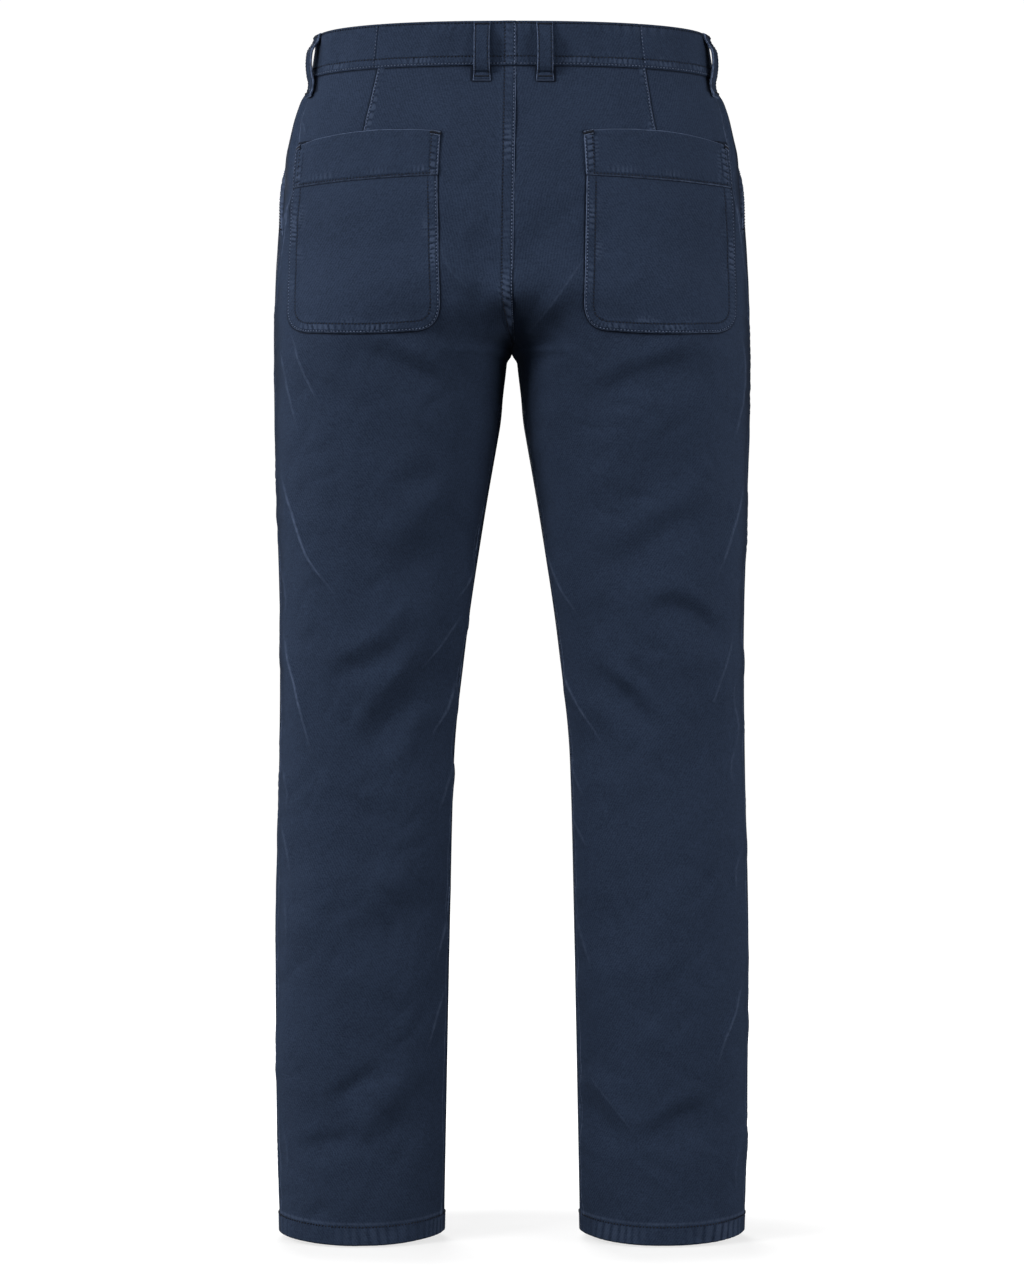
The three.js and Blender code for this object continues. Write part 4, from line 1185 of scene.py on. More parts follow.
def pocket_edges():
    """The pocket's three sewn sides as dense lines: inner, bottom, outer. Their corners are shared
    half and half."""
    inner, outer, top, low = (POCKET[key] for key in ("inner_bottom", "outer_bottom", "top", "bottom"))
    corner = POCKET["corner"]
    turn = low + corner
    t = np.linspace(0, 1, 61)
    start = np.array([POCKET["inner_top"], top])
    inner_side = start + (np.array([inner, turn]) - start) * t[:, None]
    inner_corner = quadratic((inner, turn), (inner, low), (inner + corner, low), t)
    lowest = ((inner + outer) / 2, low - POCKET["bow"])
    base = quadratic((inner + corner, low), lowest, (outer - corner, low), t)
    outer_corner = quadratic((outer - corner, low), (outer, low), (outer, turn), t)
    outer_side = quadratic((outer, turn), (outer, top - corner * 2), (POCKET["outer_top"], top), t)
    left = np.vstack([inner_side, inner_corner[1:31]])
    bottom = np.vstack([inner_corner[30:], base[1:], outer_corner[1:31]])
    right = np.vstack([outer_side[::-1], outer_corner[30:-1][::-1]])
    return left, bottom, right


def length_along(line):
    """Length of a flat line up to each of its points."""
    return np.concatenate([[0], np.cumsum(np.hypot(*np.diff(line, axis=0).T))])


def resampled(line, places):
    """Points at shares of a line's length."""
    reached = length_along(line)
    want = np.asarray(places) * reached[-1]
    return np.stack([np.interp(want, reached, line[:, 0]), np.interp(want, reached, line[:, 1])], -1)


def spanned(left, right, top, bottom, across, down):
    """Smooth patch between four lines, at shares across and down."""
    lines = [resampled(left, down)[:, None], resampled(right, down)[:, None],
             resampled(top, across)[None], resampled(bottom, across)[None]]
    u, v = across[None, :, None], down[:, None, None]
    corners = ((1 - u) * (1 - v) * top[0] + u * (1 - v) * top[-1]
               + (1 - u) * v * bottom[0] + u * v * bottom[-1])
    return (1 - u) * lines[0] + u * lines[1] + (1 - v) * lines[2] + v * lines[3] - corners


def nearest_on(line, points):
    """Distance of points from a dense line, and how far along it the nearest place is."""
    reached = length_along(line)
    distance, along = np.empty(len(points)), np.empty(len(points))
    for k in range(0, len(points), 2000):
        part = points[k:k + 2000]
        apart = np.hypot(part[:, None, 0] - line[:, 0], part[:, None, 1] - line[:, 1])
        j = np.argmin(apart, axis=1)
        distance[k:k + 2000] = apart[np.arange(len(part)), j]
        along[k:k + 2000] = reached[j]
    return distance, along


def within(outline, x, z):
    """Whether points lie inside a closed outline."""
    inside = np.zeros(len(x), bool)
    for (ax, az), (bx, bz) in zip(outline, np.roll(outline, -1, axis=0)):
        if az != bz:
            inside ^= ((az > z) != (bz > z)) & (x < (bx - ax) * (z - az) / (bz - az) + ax)
    return inside


def pocket_outline():
    """A seat pocket's sides and bottom as one evenly spaced line, from its inner top corner."""
    left, bottom, right = pocket_edges()
    return resampled(np.vstack([left, bottom[1:], right[::-1][1:]]), np.linspace(0, 1, 1200))


def pocket_row(distance):
    """Places of a row at a distance in from a seat pocket's edge, below its band."""
    outline = pocket_outline()
    inward = np.gradient(outline, axis=0)
    inward = np.stack([-inward[:, 1], inward[:, 0]], -1)
    inward /= np.hypot(inward[:, 0], inward[:, 1])[:, None]
    if inward[0, 0] < 0:
        inward = -inward
    path = outline + inward * distance
    return path[path[:, 1] < -127.5].T


def pocket_height(x, z, side):
    """Height of a seat pocket over its panel, with the distance in from its edge and along it."""
    shape = x.shape
    edge, run = nearest_on(pocket_outline(), np.stack([x.ravel(), z.ravel()], -1))
    edge, run = edge.reshape(shape), run.reshape(shape)
    free = smooth((-121 - z) / 26)
    crown = 1.9 * smooth((edge - 9) / 42) * free
    hems = 0.5 * (1 - smooth((edge - 8.6) / 3))
    strip, standing = sewn_strip(edge, run, ROWS_IN, 4.9, 2.3 + side, 1.3, 12)
    slack = 0.35 * unevenness(x, z, 30, 61 + side) * smooth((edge - 10) / 20) * free
    return POCKET_CLOTH + 0.2 + crown + hems + strip + slack, edge, run, standing


def seat_pocket(side):
    """Patch pocket on the seat, held by its edges and crowned a little in the middle."""
    left, bottom, right = pocket_edges()
    top = np.array([left[0], right[0]])
    across = edge_paced(133, 0.75, 1.45)
    down = edge_paced(185, 0.75, 1.45, 0, 12)
    place = spanned(left, right, top, bottom, across, down)
    x, z = place[..., 0], place[..., 1]
    height, edge, run, standing = pocket_height(x, z, side)
    base, normal = back_place(side, x, z)
    folds = folds_at(side, "back", x, z)[0] * 0.5
    shown = base + normal * (folds + height)[..., None]
    hidden = base + normal * (folds * 0.9 + 0.1)[..., None]
    foot = np.interp(x, (BAND_EDGE["inner_bottom"][0], BAND_EDGE["outer_bottom"][0]),
                     (BAND_EDGE["inner_bottom"][1], BAND_EDGE["outer_bottom"][1]))
    # painted shadow on the pocket just below its band's foot
    layers = layers_of(x.shape, edge, run, *ROWS_IN, high=standing, under=(foot - z) * 1.7)
    return shown, hidden, layers, np.stack([x, -z], -1) * MM


BAND_EDGE = dict(inner_top=(64, -82.6), middle_top=(129.5, -80.6), outer_top=(195, -87.6),
                 inner_bottom=(66, -122.5), outer_bottom=(198, -126.5))


def band_height(side, u, v, width, depth):
    """Height of a pocket's band over the panel, and how far its gathers stand out. u and v are
    millimetres from its inner and top edge."""
    edge = np.minimum(u, width - u)
    low = depth - v
    strip, standing = sewn_strip(edge, v, ROWS_IN, 5.6, 1.1 + side, 1.3, 6)
    fine = (pucker(u, 3.9, 0.4 + side) - 0.5) * smooth((low - 2.6) / 1.5)
    fine = fine * (1 - smooth((low - 4) / 11)) * smooth((edge - 9) / 3)
    rolled = -0.9 * (1 - smooth(low / 1.0)) ** 1.5 - 0.7 * (1 - smooth(v / 1.3)) ** 1.5
    middle = np.sin(np.clip(u / width, 0, 1) * math.pi)
    gape = 1.4 * middle ** 0.8 * (1 - smooth(v / 24))
    crown = 0.9 * middle ** 0.6 * smooth(low / 12)
    drape = 0.5 * unevenness(u, v * 0.35, 26, 71 + side) * smooth(low / 10)
    height = (POCKET_CLOTH + 1.5 + rolled + strip + 0.7 * fine - 0.45 * groove(low, BAND_FOOT_ROW)
              + gape + crown + drape)
    return height, standing + 0.6 * fine


def pocket_band_top():
    """The band's top edge, from the inner corner out."""
    b = BAND_EDGE
    middle = (b["middle_top"][0], b["middle_top"][1] * 2 - (b["inner_top"][1] + b["outer_top"][1]) / 2)
    return quadratic(b["inner_top"], middle, b["outer_top"], np.linspace(0, 1, 40))


def pocket_band(side):
    """Band sewn across a seat pocket's top."""
    b = BAND_EDGE
    top = pocket_band_top()
    bottom = np.array([b["inner_bottom"], b["outer_bottom"]], float)
    left = np.array([b["inner_top"], b["inner_bottom"]], float)
    right = np.array([b["outer_top"], b["outer_bottom"]], float)
    across, down = edge_paced(131, 0.7, 0.95), paced(40, lambda s: 0.8)
    place = spanned(left, right, top, bottom, across, down)
    x, z = place[..., 0], place[..., 1]
    base, normal = back_place(side, x, z)
    u, v = lengths_along(place, 1), lengths_along(place, 0)
    width, depth = u[:, -1:], v[-1:, :]
    folds = folds_at(side, "back", x, z)[0] * 0.5
    over, standing = band_height(side, u, v, width, depth)
    shown = base + normal * (folds + over)[..., None]
    hidden = base + normal * (folds + POCKET_CLOTH + 0.2)[..., None]
    edge, low = np.minimum(u, width - u), depth - v
    sewn, foot = np.minimum(edge, low), low < edge
    # its top edge isn't sewn
    row_a = np.where(v < sewn, NO_ROW, np.where(foot, BAND_FOOT_ROW, ROWS_IN[0]))
    row_b = np.where((v < sewn) | foot, NO_ROW, ROWS_IN[1])
    layers = layers_of(x.shape, np.minimum(sewn, v), np.where(foot, u, v), row_a, row_b, high=standing)
    return shown, hidden, layers, np.stack([x, -z], -1) * MM


def build_seat_pockets():
    """Both seat pockets with their bands, rows and tacks."""
    rows = []
    for side, name in SIDES:
        cloth_piece(f"seat_pocket_{name}", [f"back_pocket_{name}"], seat_pocket(side))
        for row in ROWS_IN:
            x, z = pocket_row(row)
            base, normal = back_place(side, x, z)
            over = folds_at(side, "back", x, z)[0] * 0.5 + pocket_height(x, z, side)[0]
            rows.append(stitches(base + normal * over[:, None], normal, pale=row == ROWS_IN[0]))
        sheet = cloth_piece(f"seat_pocket_band_{name}", [f"back_pocket_band_{name}"], pocket_band(side))
        for edge in ("left", "right"):
            for row in ROWS_IN:
                rows.append(edge_row(sheet, row, edge, pale=row == ROWS_IN[0]))
            # the tack sits a little below the band's top
            line, normals = traced(*sheet, 5.0, edge)
            place, out = line[3], normals[3]
            across = unit(place - traced(*sheet, 1.0, edge)[0][3])
            rows += bar_tack(place + out * 0.15, across, out, 9.2, 2.2, 15, framed=True)
        rows.append(edge_row(sheet, BAND_FOOT_ROW, "bottom", slice(8, -8)))
    sew("stitches_seat_pockets", rows)


# ---------------------------------------------------------------- waistband

BAND_HIGH = BAND_TOP + 0.2
BAND_WIDTH = 40.9
BAND_TOP_ROW = 2.6
BAND_ROWS = (1.7, 8.3)
BAND_STITCHING = (("top", BAND_TOP_ROW), ("bottom", BAND_ROWS[0]), ("bottom", BAND_ROWS[1]))
LAP = -2


def band_surface(side, angle):
    """One piece of the waistband along a line of angles: places and normals on the form, its
    height over them, its layers, and how far along and down each place is."""
    down = np.array([*np.linspace(0, 1.6, 4), *np.linspace(2.4, 38, 33),
                     *np.linspace(38.8, BAND_WIDTH, 4)])
    z = BAND_HIGH - down[:, None] + 0 * angle[None]
    angle = angle[None] + 0 * z
    base, normal = form(side, angle, z), form_normal(side, angle, z, True)
    run = lengths_along(base, 1)
    v = down[:, None] + 0 * run
    low = BAND_WIDTH - v
    strip, standing = sewn_strip(low, run, BAND_ROWS, 4.4, 0.9 + side, 0.9, 8)
    slant = run + 0.25 * v * np.sin(run / 40)
    along_top = (pucker(slant, 9.5, 2.6 + side) - 0.5) * smooth((v - 1.5) / 2)
    along_top = along_top * (1 - smooth((v - 5) / 13))
    crimp = unevenness(run, low, 3.4, 55 + side) * np.exp(-((low - 10.2) / 2.6) ** 2)
    rolled = -1.1 * (1 - smooth(v / 1.4)) ** 1.5
    slow = (0.7 * unevenness(run, v * 0.4, 44, 81 + side)
            + 0.45 * unevenness(run, v * 0.35, 19, 91 + side))
    relief = (BAND_PROUD + 0.35 + 0.6 * strip + 0.75 * along_top + 0.28 * crimp
              - 0.4 * groove(v, BAND_TOP_ROW) + rolled + slow * smooth(v / 6) * smooth(low / 8))
    standing = 0.75 * standing + 0.35 * along_top + 0.12 * crimp
    near_top = v < low
    # the band's long edges are too thick to rub pale
    layers = dict(edge=np.where(near_top, v, low) + 1.2, run=run,
                  row_a=np.where(near_top, BAND_TOP_ROW, BAND_ROWS[0]) + 1.2,
                  row_b=np.where(near_top, NO_ROW, BAND_ROWS[1] + 1.2), high=standing)
    return base, normal, relief, layers, run, v


def ends_rolled(run, relief, last):
    """Rounds a waistband piece's first short end, and its last one if wanted, into its seam."""
    fall = 0.8 * (1 - smooth((run - run[:, :1]) / 1.1))
    if last:
        fall = fall + 0.8 * (1 - smooth((run[:, -1:] - run) / 1.1))
    return relief - fall


def angles_between(side, start, stop, step):
    """Angles along the waistband whose places are about a step apart."""
    fine = np.linspace(start, stop, 721)
    reached = lengths_along(form(side, fine, 0.0)[None], 1)[0]
    count = 2 * int(round(reached[-1] / step / 2)) + 1
    return np.interp(np.linspace(0, reached[-1], count), reached, fine)


def front_angle(x, z):
    """Angle on the front at a distance from the centre plane."""
    return -np.degrees(np.arccos((np.abs(x) / outer_at(z)) ** (roundness(z) / 2)))


def waistband_rear(side):
    """Piece from the seam above the dart to the centre back."""
    angle = angles_between(side, BAND_BACK_SEAM[side], 90, 1.15)
    base, normal, relief, layers, run, v = band_surface(side, angle)
    relief = ends_rolled(run, relief, side < 0)
    if side > 0:
        # the centre seam's folded edge and its two rows run on through the waistband
        inner = run[:, -1:] - run
        strip, standing = sewn_strip(inner, v, CENTRE_ROWS, 6.1, 1.3, tail=4)
        relief = relief + 0.8 * strip + 0.7 * (1 - smooth((inner - 11) / 4))
        layers["high"] = layers["high"] + standing
        centre = (inner < 13) & (layers["edge"] > 3)
        layers["row_a"] = np.where(centre, CENTRE_ROWS[0], layers["row_a"])
        layers["row_b"] = np.where(centre, CENTRE_ROWS[1], layers["row_b"])
        layers["edge"] = np.where(centre, inner, layers["edge"])
        layers["run"] = np.where(centre, v, layers["run"])
    shown = base + normal * relief[..., None]
    hidden = base + normal * (BAND_PROUD - BAND_WALL)
    if side < 0:
        # runs on beneath the left side's edge
        shown[:, -2:] -= normal[:, -2:] * np.array([0.5, 1.1])[:, None]
        for surface in (shown, hidden):
            surface[:, -1, 0] += 3.5
            surface[:, -2, 0] += 0.6
    return shown, hidden, layers_of(v.shape, **layers), np.stack([run, v], -1) * MM


def waistband_side(side):
    """Piece from the seam above the dart round the side to the front."""
    front = float(front_angle(2.0 if side > 0 else 27.0, 0.0))
    angle = angles_between(side, BAND_BACK_SEAM[side], front, 1.6)
    base, normal, relief, layers, run, v = band_surface(side, angle)
    relief = ends_rolled(run, relief, side > 0)
    if side > 0:
        # lapped end, carried past the centre to where the fly's edge lies
        past = base[:, -1:].copy()
        past[..., 0] = LAP
        base = np.hstack([base, (base[:, -1:] + past) / 2, past])
        normal = np.hstack([normal, normal[:, -1:], normal[:, -1:]])
        relief = np.hstack([relief, relief[:, -1:], relief[:, -1:] - 0.5])
        more = np.array([1.8, 3.6])
    else:
        # the underlap steps in behind the left side's end
        lap_x = np.array([-20.0, -13.0, -6.0, 1, 8, 15, 22, 30, 34, 38])
        z, angle = BAND_HIGH - v[:, :1] + 0 * lap_x, front_angle(lap_x, 0.0) + 0 * v[:, :1]
        lap, lap_normal = form(-1, angle, z), form_normal(-1, angle, z, True)
        under = BAND_WALL + GAP
        step = smooth((lap_x + 27) / 21)
        lap_normal[..., 0] *= np.where(lap_x > 0, -1, 1)
        lap[..., 0] = lap_x
        lap = lap - lap_normal * (under * step)[None, :, None]
        base, normal = np.hstack([base, lap]), np.hstack([normal, lap_normal])
        relief = np.hstack([relief, BAND_PROUD - 0.7 * (1 - smooth(v[:, :1] / 1.4)) - 0.25 * step])
        more = 7.0 * np.arange(1, len(lap_x) + 1)
    run = np.hstack([run, run[:, -1:] + more])
    v = np.hstack([v, v[:, -1:] + 0 * more])
    layers = {key: np.hstack([a, a[:, -1:] + more * (side < 0 and key == "run")])
              for key, a in layers.items()}
    if base.shape[1] % 2 == 0:
        base, normal, relief, run, v = (a[:, 1:] for a in (base, normal, relief, run, v))
        layers = {key: a[:, 1:] for key, a in layers.items()}
    shown = base + normal * relief[..., None]
    hidden = base + normal * (BAND_PROUD - BAND_WALL)
    return shown, hidden, layers_of(v.shape, **layers), np.stack([run, v], -1) * MM


def build_waistband():
    """The waistband's four pieces and their rows."""
    rows = []
    for side, name in SIDES:
        sheet = cloth_piece(f"waistband_rear_{name}", [f"waistband_back_{name}"], waistband_rear(side))
        for edge, distance in BAND_STITCHING:
            rows.append(edge_row(sheet, distance, edge, pale=0.7 * (distance == BAND_ROWS[0])))
        if side > 0:
            for distance in CENTRE_ROWS:
                rows.append(edge_row(sheet, distance, "right", slice(2, -2),
                                     pale=distance == CENTRE_ROWS[0]))
        sheet = cloth_piece(f"waistband_side_{name}", [f"waistband_front_{name}"], waistband_side(side))
        # the underlap's end isn't sewn
        whole = slice(None) if side > 0 else slice(0, -10)
        for edge, distance in BAND_STITCHING:
            rows.append(edge_row(sheet, distance, edge, whole, pale=0.7 * (distance == BAND_ROWS[0])))
        rows.append(edge_row(sheet, 1.6, "left", slice(3, -5), width=0.9, pale=0.7))
    sew("stitches_waistband", rows)


# ---------------------------------------------------------------- belt loops

LOOP_WIDTH = 16
LOOP_ROW = 2.0
LOOP_ARCH = 7.4
LOOP_BELOW = 15.2
# shares of a loop's length, and of its width there
LOOP_FLARE = ((0, 0.12, 0.5, 0.85, 0.93, 1), (1, 0.95, 0.91, 0.95, 1.02, 1.04))
# name, first and last angle, how far it stands off for a belt, how far it runs below the band's
# seam, and how far its foot lies back
LOOPS = (
    ("back", 80.5, 86, LOOP_ARCH, LOOP_BELOW, 0),
    ("side", 7.5, 19, LOOP_ARCH - 2, LOOP_BELOW + 5, 6),
    ("front", -68.5, -60.2, LOOP_ARCH - 0.6, LOOP_BELOW, 0),
)


def loop_path(side, start, stop, arch, below):
    """A loop's middle line as (distance out, height), with the place and directions it is set by."""
    ends = form(side, np.array([start, stop]), 0.0)
    origin = ends.mean(axis=0)
    along = unit((ends[1] - ends[0]) * np.array([1, 1, 0]))
    out = np.array([along[1], -along[0], 0]) * side
    spread = np.linspace(start, stop, 7)

    def reach(z):
        proud = BAND_PROUD + 0.3 if z > BAND_SEAM else 0.2
        places = form(side, spread, z) + form_normal(side, spread, z, True) * proud
        return ((places - origin) @ out).max()

    rest = GAP + 1.1
    low = BAND_SEAM - below
    knots = [(BAND_TOP - 0.3, rest), (BAND_TOP - 4, rest + 0.2), (BAND_TOP - 9, arch * 0.55),
             (BAND_TOP - 15, arch * 0.9 + rest), (0, arch + rest + 0.4), (-10, arch + rest),
             (BAND_SEAM, arch), (BAND_SEAM - 5.5, arch * 0.55), (low + 8, rest), (low, rest - 0.1)]
    line = rounded_path([(reach(z) + off, z) for z, off in knots], 8)
    return line, origin, out, np.cross(out, UP)


def belt_loop(side, start, stop, arch, below, slide):
    """Belt loop: a strap folded in three and sewn near both edges, its ends turned under. It is
    narrowest in the middle, and slide is how far its foot lies further back than its top."""
    line, origin, out, across = loop_path(side, start, stop, arch, below)
    reached = length_along(line)
    s = paced(reached[-1], lambda s: 0.9) * reached[-1]
    path = np.stack([np.interp(s, reached, line[:, c]) for c in (0, 1)], -1)
    run = unit(np.gradient(path, axis=0))
    away = np.stack([-run[:, 1], run[:, 0]], -1)
    if away[len(away) // 2, 0] < 0:
        away = -away
    ends = np.minimum(s, reached[-1] - s)
    narrow = bpy.context.scene.trousers.loop_width / MM / LOOP_WIDTH
    flare = narrow * np.interp(s / reached[-1], *LOOP_FLARE)
    w = np.array([*np.linspace(-8, -6.8, 4), *np.linspace(-6.2, 6.2, 17), *np.linspace(6.8, 8, 4)])
    s, ends = s[:, None], ends[:, None]
    w, s = np.broadcast_arrays(w, s)
    inset = LOOP_WIDTH / 2 - np.abs(w)
    thick = 1.15 * np.sqrt(np.clip(1 - (1 - np.clip(inset / 0.9, 0, 1)) ** 2, 0.02, 1))
    bulk = 0.5 * (1 - smooth((ends - 3.6) / 2))
    tips = 1 - 0.8 * (1 - smooth(ends / 1.1)) ** 2
    slack = 0.2 * unevenness(w, s, 9, 17 + int(abs(start))) * smooth((inset - 2.2) / 2)
    pressed = 0.8 * (1 - smooth(ends / 2.6))
    lift = (thick + bulk) * tips + slack - 0.25 * groove(inset, LOOP_ROW) - pressed

    def placed(offset):
        flat = path[:, None] + away[:, None] * offset[..., None]
        back = -side * slide * smooth((12 - flat[..., 1:]) / 44)
        return (origin + out * flat[..., :1] + across * (w[..., None] * flare[:, None, None] + back)
                + UP * flat[..., 1:])

    row = np.where(ends < inset, NO_ROW, LOOP_ROW)
    layers = layers_of(w.shape, np.minimum(inset, ends + 0.2), s, row)
    return placed(lift), placed(-thick * tips - pressed), layers, np.stack([w, s], -1) * MM


def build_belt_loops():
    """Six belt loops, each tacked at both ends."""
    rows = []
    for side, name in SIDES:
        for place, *sizes in LOOPS:
            sheet = cloth_piece(f"loop_{place}_{name}", [f"belt_loop_{place}_{name}"],
                                belt_loop(side, *sizes))
            for edge in ("left", "right"):
                rows.append(edge_row(sheet, LOOP_ROW, edge, slice(3, -3), width=0.85))
            shown, normals = sheet
            across = unit(shown[0, -1] - shown[0, 0])
            middle = shown.shape[1] // 2
            for k in (4, -5):
                out = normals[k, middle]
                rows += bar_tack(shown[k, middle] + out * 0.05, across, out, 12.5, 1.5, 19)
    sew("stitches_belt_loops", rows)


# ---------------------------------------------------------------- front pockets and fly

def facing(side):
    """Cloth that shows inside a slanted pocket mouth."""
    end = MOUTH_END - UNDERLAP * 0.6
    z = (BAND_SEAM + 1 - paced(BAND_SEAM - end, lambda s: 3.0) * (BAND_SEAM - end))[:, None]
    across = np.linspace(0.002, 1, 41)
    angle = panel_angle("front", across * np.maximum(mouth_share(z, UNDERLAP), 0.02), z)
    height = np.broadcast_to(z, angle.shape)
    base, normal = form(side, angle, height), form_normal(side, angle, height)
    reached = lengths_along(base, 1)
    # it bellies out to the mouth's edge, and lies flat again beneath the panel
    to_mouth = form(side, panel_angle("front", mouth_share(z) * across, z), height)
    mouth = reached - lengths_along(to_mouth, 1)[:, -1:]
    slow = (0.3 * unevenness(reached, height, 50, 31 + side)
            + 4.0 * hip_swell(height) * smooth(reached / 13) * (1 - smooth((mouth + 9) / 13)))
    shown = base + normal * (slow - CLOTH - 0.2)[..., None]
    hidden = base - normal * (CLOTH + 1.4)
    layers = layers_of(height.shape, reached + 1.5, -height)
    uv = np.stack([reached, -height], -1) * MM
    return shown, hidden, layers, uv


def fly_shield():
    """Strip behind the fly, sewn to the right front and running under the left."""
    z = BAND_SEAM - paced(FLY_LENGTH, lambda s: 3.0) * FLY_LENGTH
    x, z = np.meshgrid(np.linspace(-9, 38, 25), z)
    angle = front_angle(np.maximum(np.abs(x), 1), z)
    base, normal = form(1, angle, z), form_normal(1, angle, z, True)
    base[..., 0] = x
    normal[..., 0] *= np.sign(x)
    layers = layers_of(x.shape, 38 - x, -z)
    return base - normal * 2.05, base - normal * 3.15, layers, np.stack([x, -z], -1) * MM


def build_front_openings():
    """Facings in the pocket mouths, the strip behind the fly, and the tacks of both."""
    rows = []
    for side, name in SIDES:
        cloth_piece(f"pocket_facing_{name}", [f"front_pocket_facing_{name}"], facing(side))
        # bar tacks close both ends of the mouth
        for z in (BAND_SEAM - 4.0, MOUTH_END + 7.0):
            angle = panel_angle("front", float(mouth_share(np.array(z))), np.array(z)) - 1.5
            place, out = form(side, angle, z), form_normal(side, angle, z)
            across = unit(form(side, angle - 3, z) - place)
            rows += bar_tack(place + out * 0.75, across, out, 7.5, 1.6, 12)
    cloth_piece("fly_underlap", ["fly_shield"], fly_shield())
    # the fly's lower end is tacked
    z = BAND_SEAM - 158.0
    angle = front_angle(np.array(4.0), np.array(z))
    out = form_normal(1, angle, z)
    rows += bar_tack(form(1, angle, z) + out * 0.9, np.array([1.0, 0, 0]), out, 8, 1.7, 12)
    sew("stitches_tacks", rows)


# ---------------------------------------------------------------- waist button

BUTTON_X = 13
BUTTON_RADIUS = 8.5
# each ring of the turned button: how far it is drawn in, and raised from the one before
BUTTON_RINGS = (
    (-0.35, 0.9), (0.0, 0.9), (0.35, 0.45), (0.5, 0.25), (0.7, 0.0), (0.5, -0.35), (0.6, -0.45),
)
BUTTON_HOLE_OUT = 1.7
BUTTON_HOLE_RADIUS = 0.9
# the slit's middle and half its length, along the band from the centre
BUTTONHOLE = (20, 9.5)


def build_button():
    """Four-hole button turned from a disc, its thread, and the hole it is through."""
    angle = float(front_angle(BUTTON_X, 0.0))
    seat = form(1, angle, 0.0) + form_normal(1, angle, 0.0, True) * (BAND_PROUD + GAP + 0.1)
    out = form_normal(1, angle, 0.0)
    side = unit(np.cross(out, UP))
    up = np.cross(side, out)
    bpy.ops.object.select_all(action="DESELECT")
    bpy.ops.mesh.primitive_circle_add(vertices=64, radius=BUTTON_RADIUS * MM, fill_type="NGON")
    button = bpy.context.object
    button.name = button.data.name = "waist_button_turned"
    bpy.ops.object.mode_set(mode="EDIT")
    bpy.ops.mesh.select_all(action="SELECT")
    # back, edge, rim, dish
    bpy.ops.mesh.extrude_region_move(TRANSFORM_OT_translate={"value": (0, 0, 0.6 * MM)})
    for draw_in, rise in BUTTON_RINGS:
        if draw_in:
            bpy.ops.mesh.inset(thickness=abs(draw_in) * MM, use_outset=draw_in < 0)
            bpy.ops.transform.translate(value=(0, 0, rise * MM))
        else:
            bpy.ops.mesh.extrude_region_move(TRANSFORM_OT_translate={"value": (0, 0, rise * MM)})
    bpy.ops.mesh.select_all(action="SELECT")
    bpy.ops.mesh.normals_make_consistent(inside=False)
    bpy.ops.object.mode_set(mode="OBJECT")
    cutters = []
    for sx, sy in ((1, 1), (1, -1), (-1, 1), (-1, -1)):
        bpy.ops.object.select_all(action="DESELECT")
        bpy.ops.mesh.primitive_cylinder_add(
            vertices=20, radius=BUTTON_HOLE_RADIUS * MM, depth=12 * MM,
            location=(sx * BUTTON_HOLE_OUT * MM, sy * BUTTON_HOLE_OUT * MM, 1.5 * MM))
        cutter = bpy.context.object
        cutters.append(cutter)
        bpy.ops.object.select_all(action="DESELECT")
        button.select_set(True)
        bpy.context.view_layer.objects.active = button
        drill = button.modifiers.new("holes", "BOOLEAN")
        drill.operation, drill.object, drill.solver = "DIFFERENCE", cutter, "EXACT"
        bpy.ops.object.modifier_apply(modifier=drill.name)
    for cutter in cutters:
        bpy.data.objects.remove(cutter)
    bevel = button.modifiers.new("soft edges", "BEVEL")
    bevel.width, bevel.segments = 0.22 * MM, 2
    bevel.limit_method, bevel.angle_limit = "ANGLE", math.radians(40)
    bpy.ops.object.modifier_apply(modifier=bevel.name)
    bpy.ops.object.shade_smooth_by_angle(angle=math.radians(35))
    turn = np.eye(4)
    turn[:3, 0], turn[:3, 1], turn[:3, 2], turn[:3, 3] = side, up, out, seat * MM
    button.data.transform(mathutils.Matrix(turn.tolist()))
    button.data.materials.append(material_of(urea_resin))
    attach(button, BODY)
    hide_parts("waist_button")

    rows = []
    front = seat + out * 2.6
    for sx, sy in ((1, 1), (1, -1)):
        for shift in (-0.35, 0.0, 0.35):
            start, end = (front + side * (way * sx * BUTTON_HOLE_OUT + shift)
                          + up * (way * sy * BUTTON_HOLE_OUT) for way in (1, -1))
            line = np.array([start, (start + end) / 2 + out * 0.25, end])
            rows.append(stitches(line, np.array([out] * 3), width=0.75, length=4.6, pitch=4.8,
                                 sink=0.5))
    # buttonhole: close stitches round a slit that runs away from the edge
    for k in range(58):
        t = k / 58 * math.tau
        x = BUTTONHOLE[0] + BUTTONHOLE[1] * math.cos(t)
        offset = 1.5 * np.sign(math.sin(t)) * min(1, abs(math.sin(t)) * 3)
        at_angle = float(front_angle(x, 0.0))
        normal = form_normal(1, at_angle, 0.0, True)
        place = form(1, at_angle, 0.0) + normal * (BAND_PROUD + 0.35) + UP * offset
        radial = unit(np.array([math.cos(t) * 0.35, 0, math.sin(t)]))
        line = np.array([place - radial * 0.9, place + radial * 0.9])
        rows.append(stitches(line, np.array([normal] * 2), width=0.8, length=1.8, pitch=1.0)[:1])
    sew("stitches_button", rows)


# ---------------------------------------------------------------- stage

CAMERA_AWAY = 3.2
CAMERA_HEIGHT = -0.5381
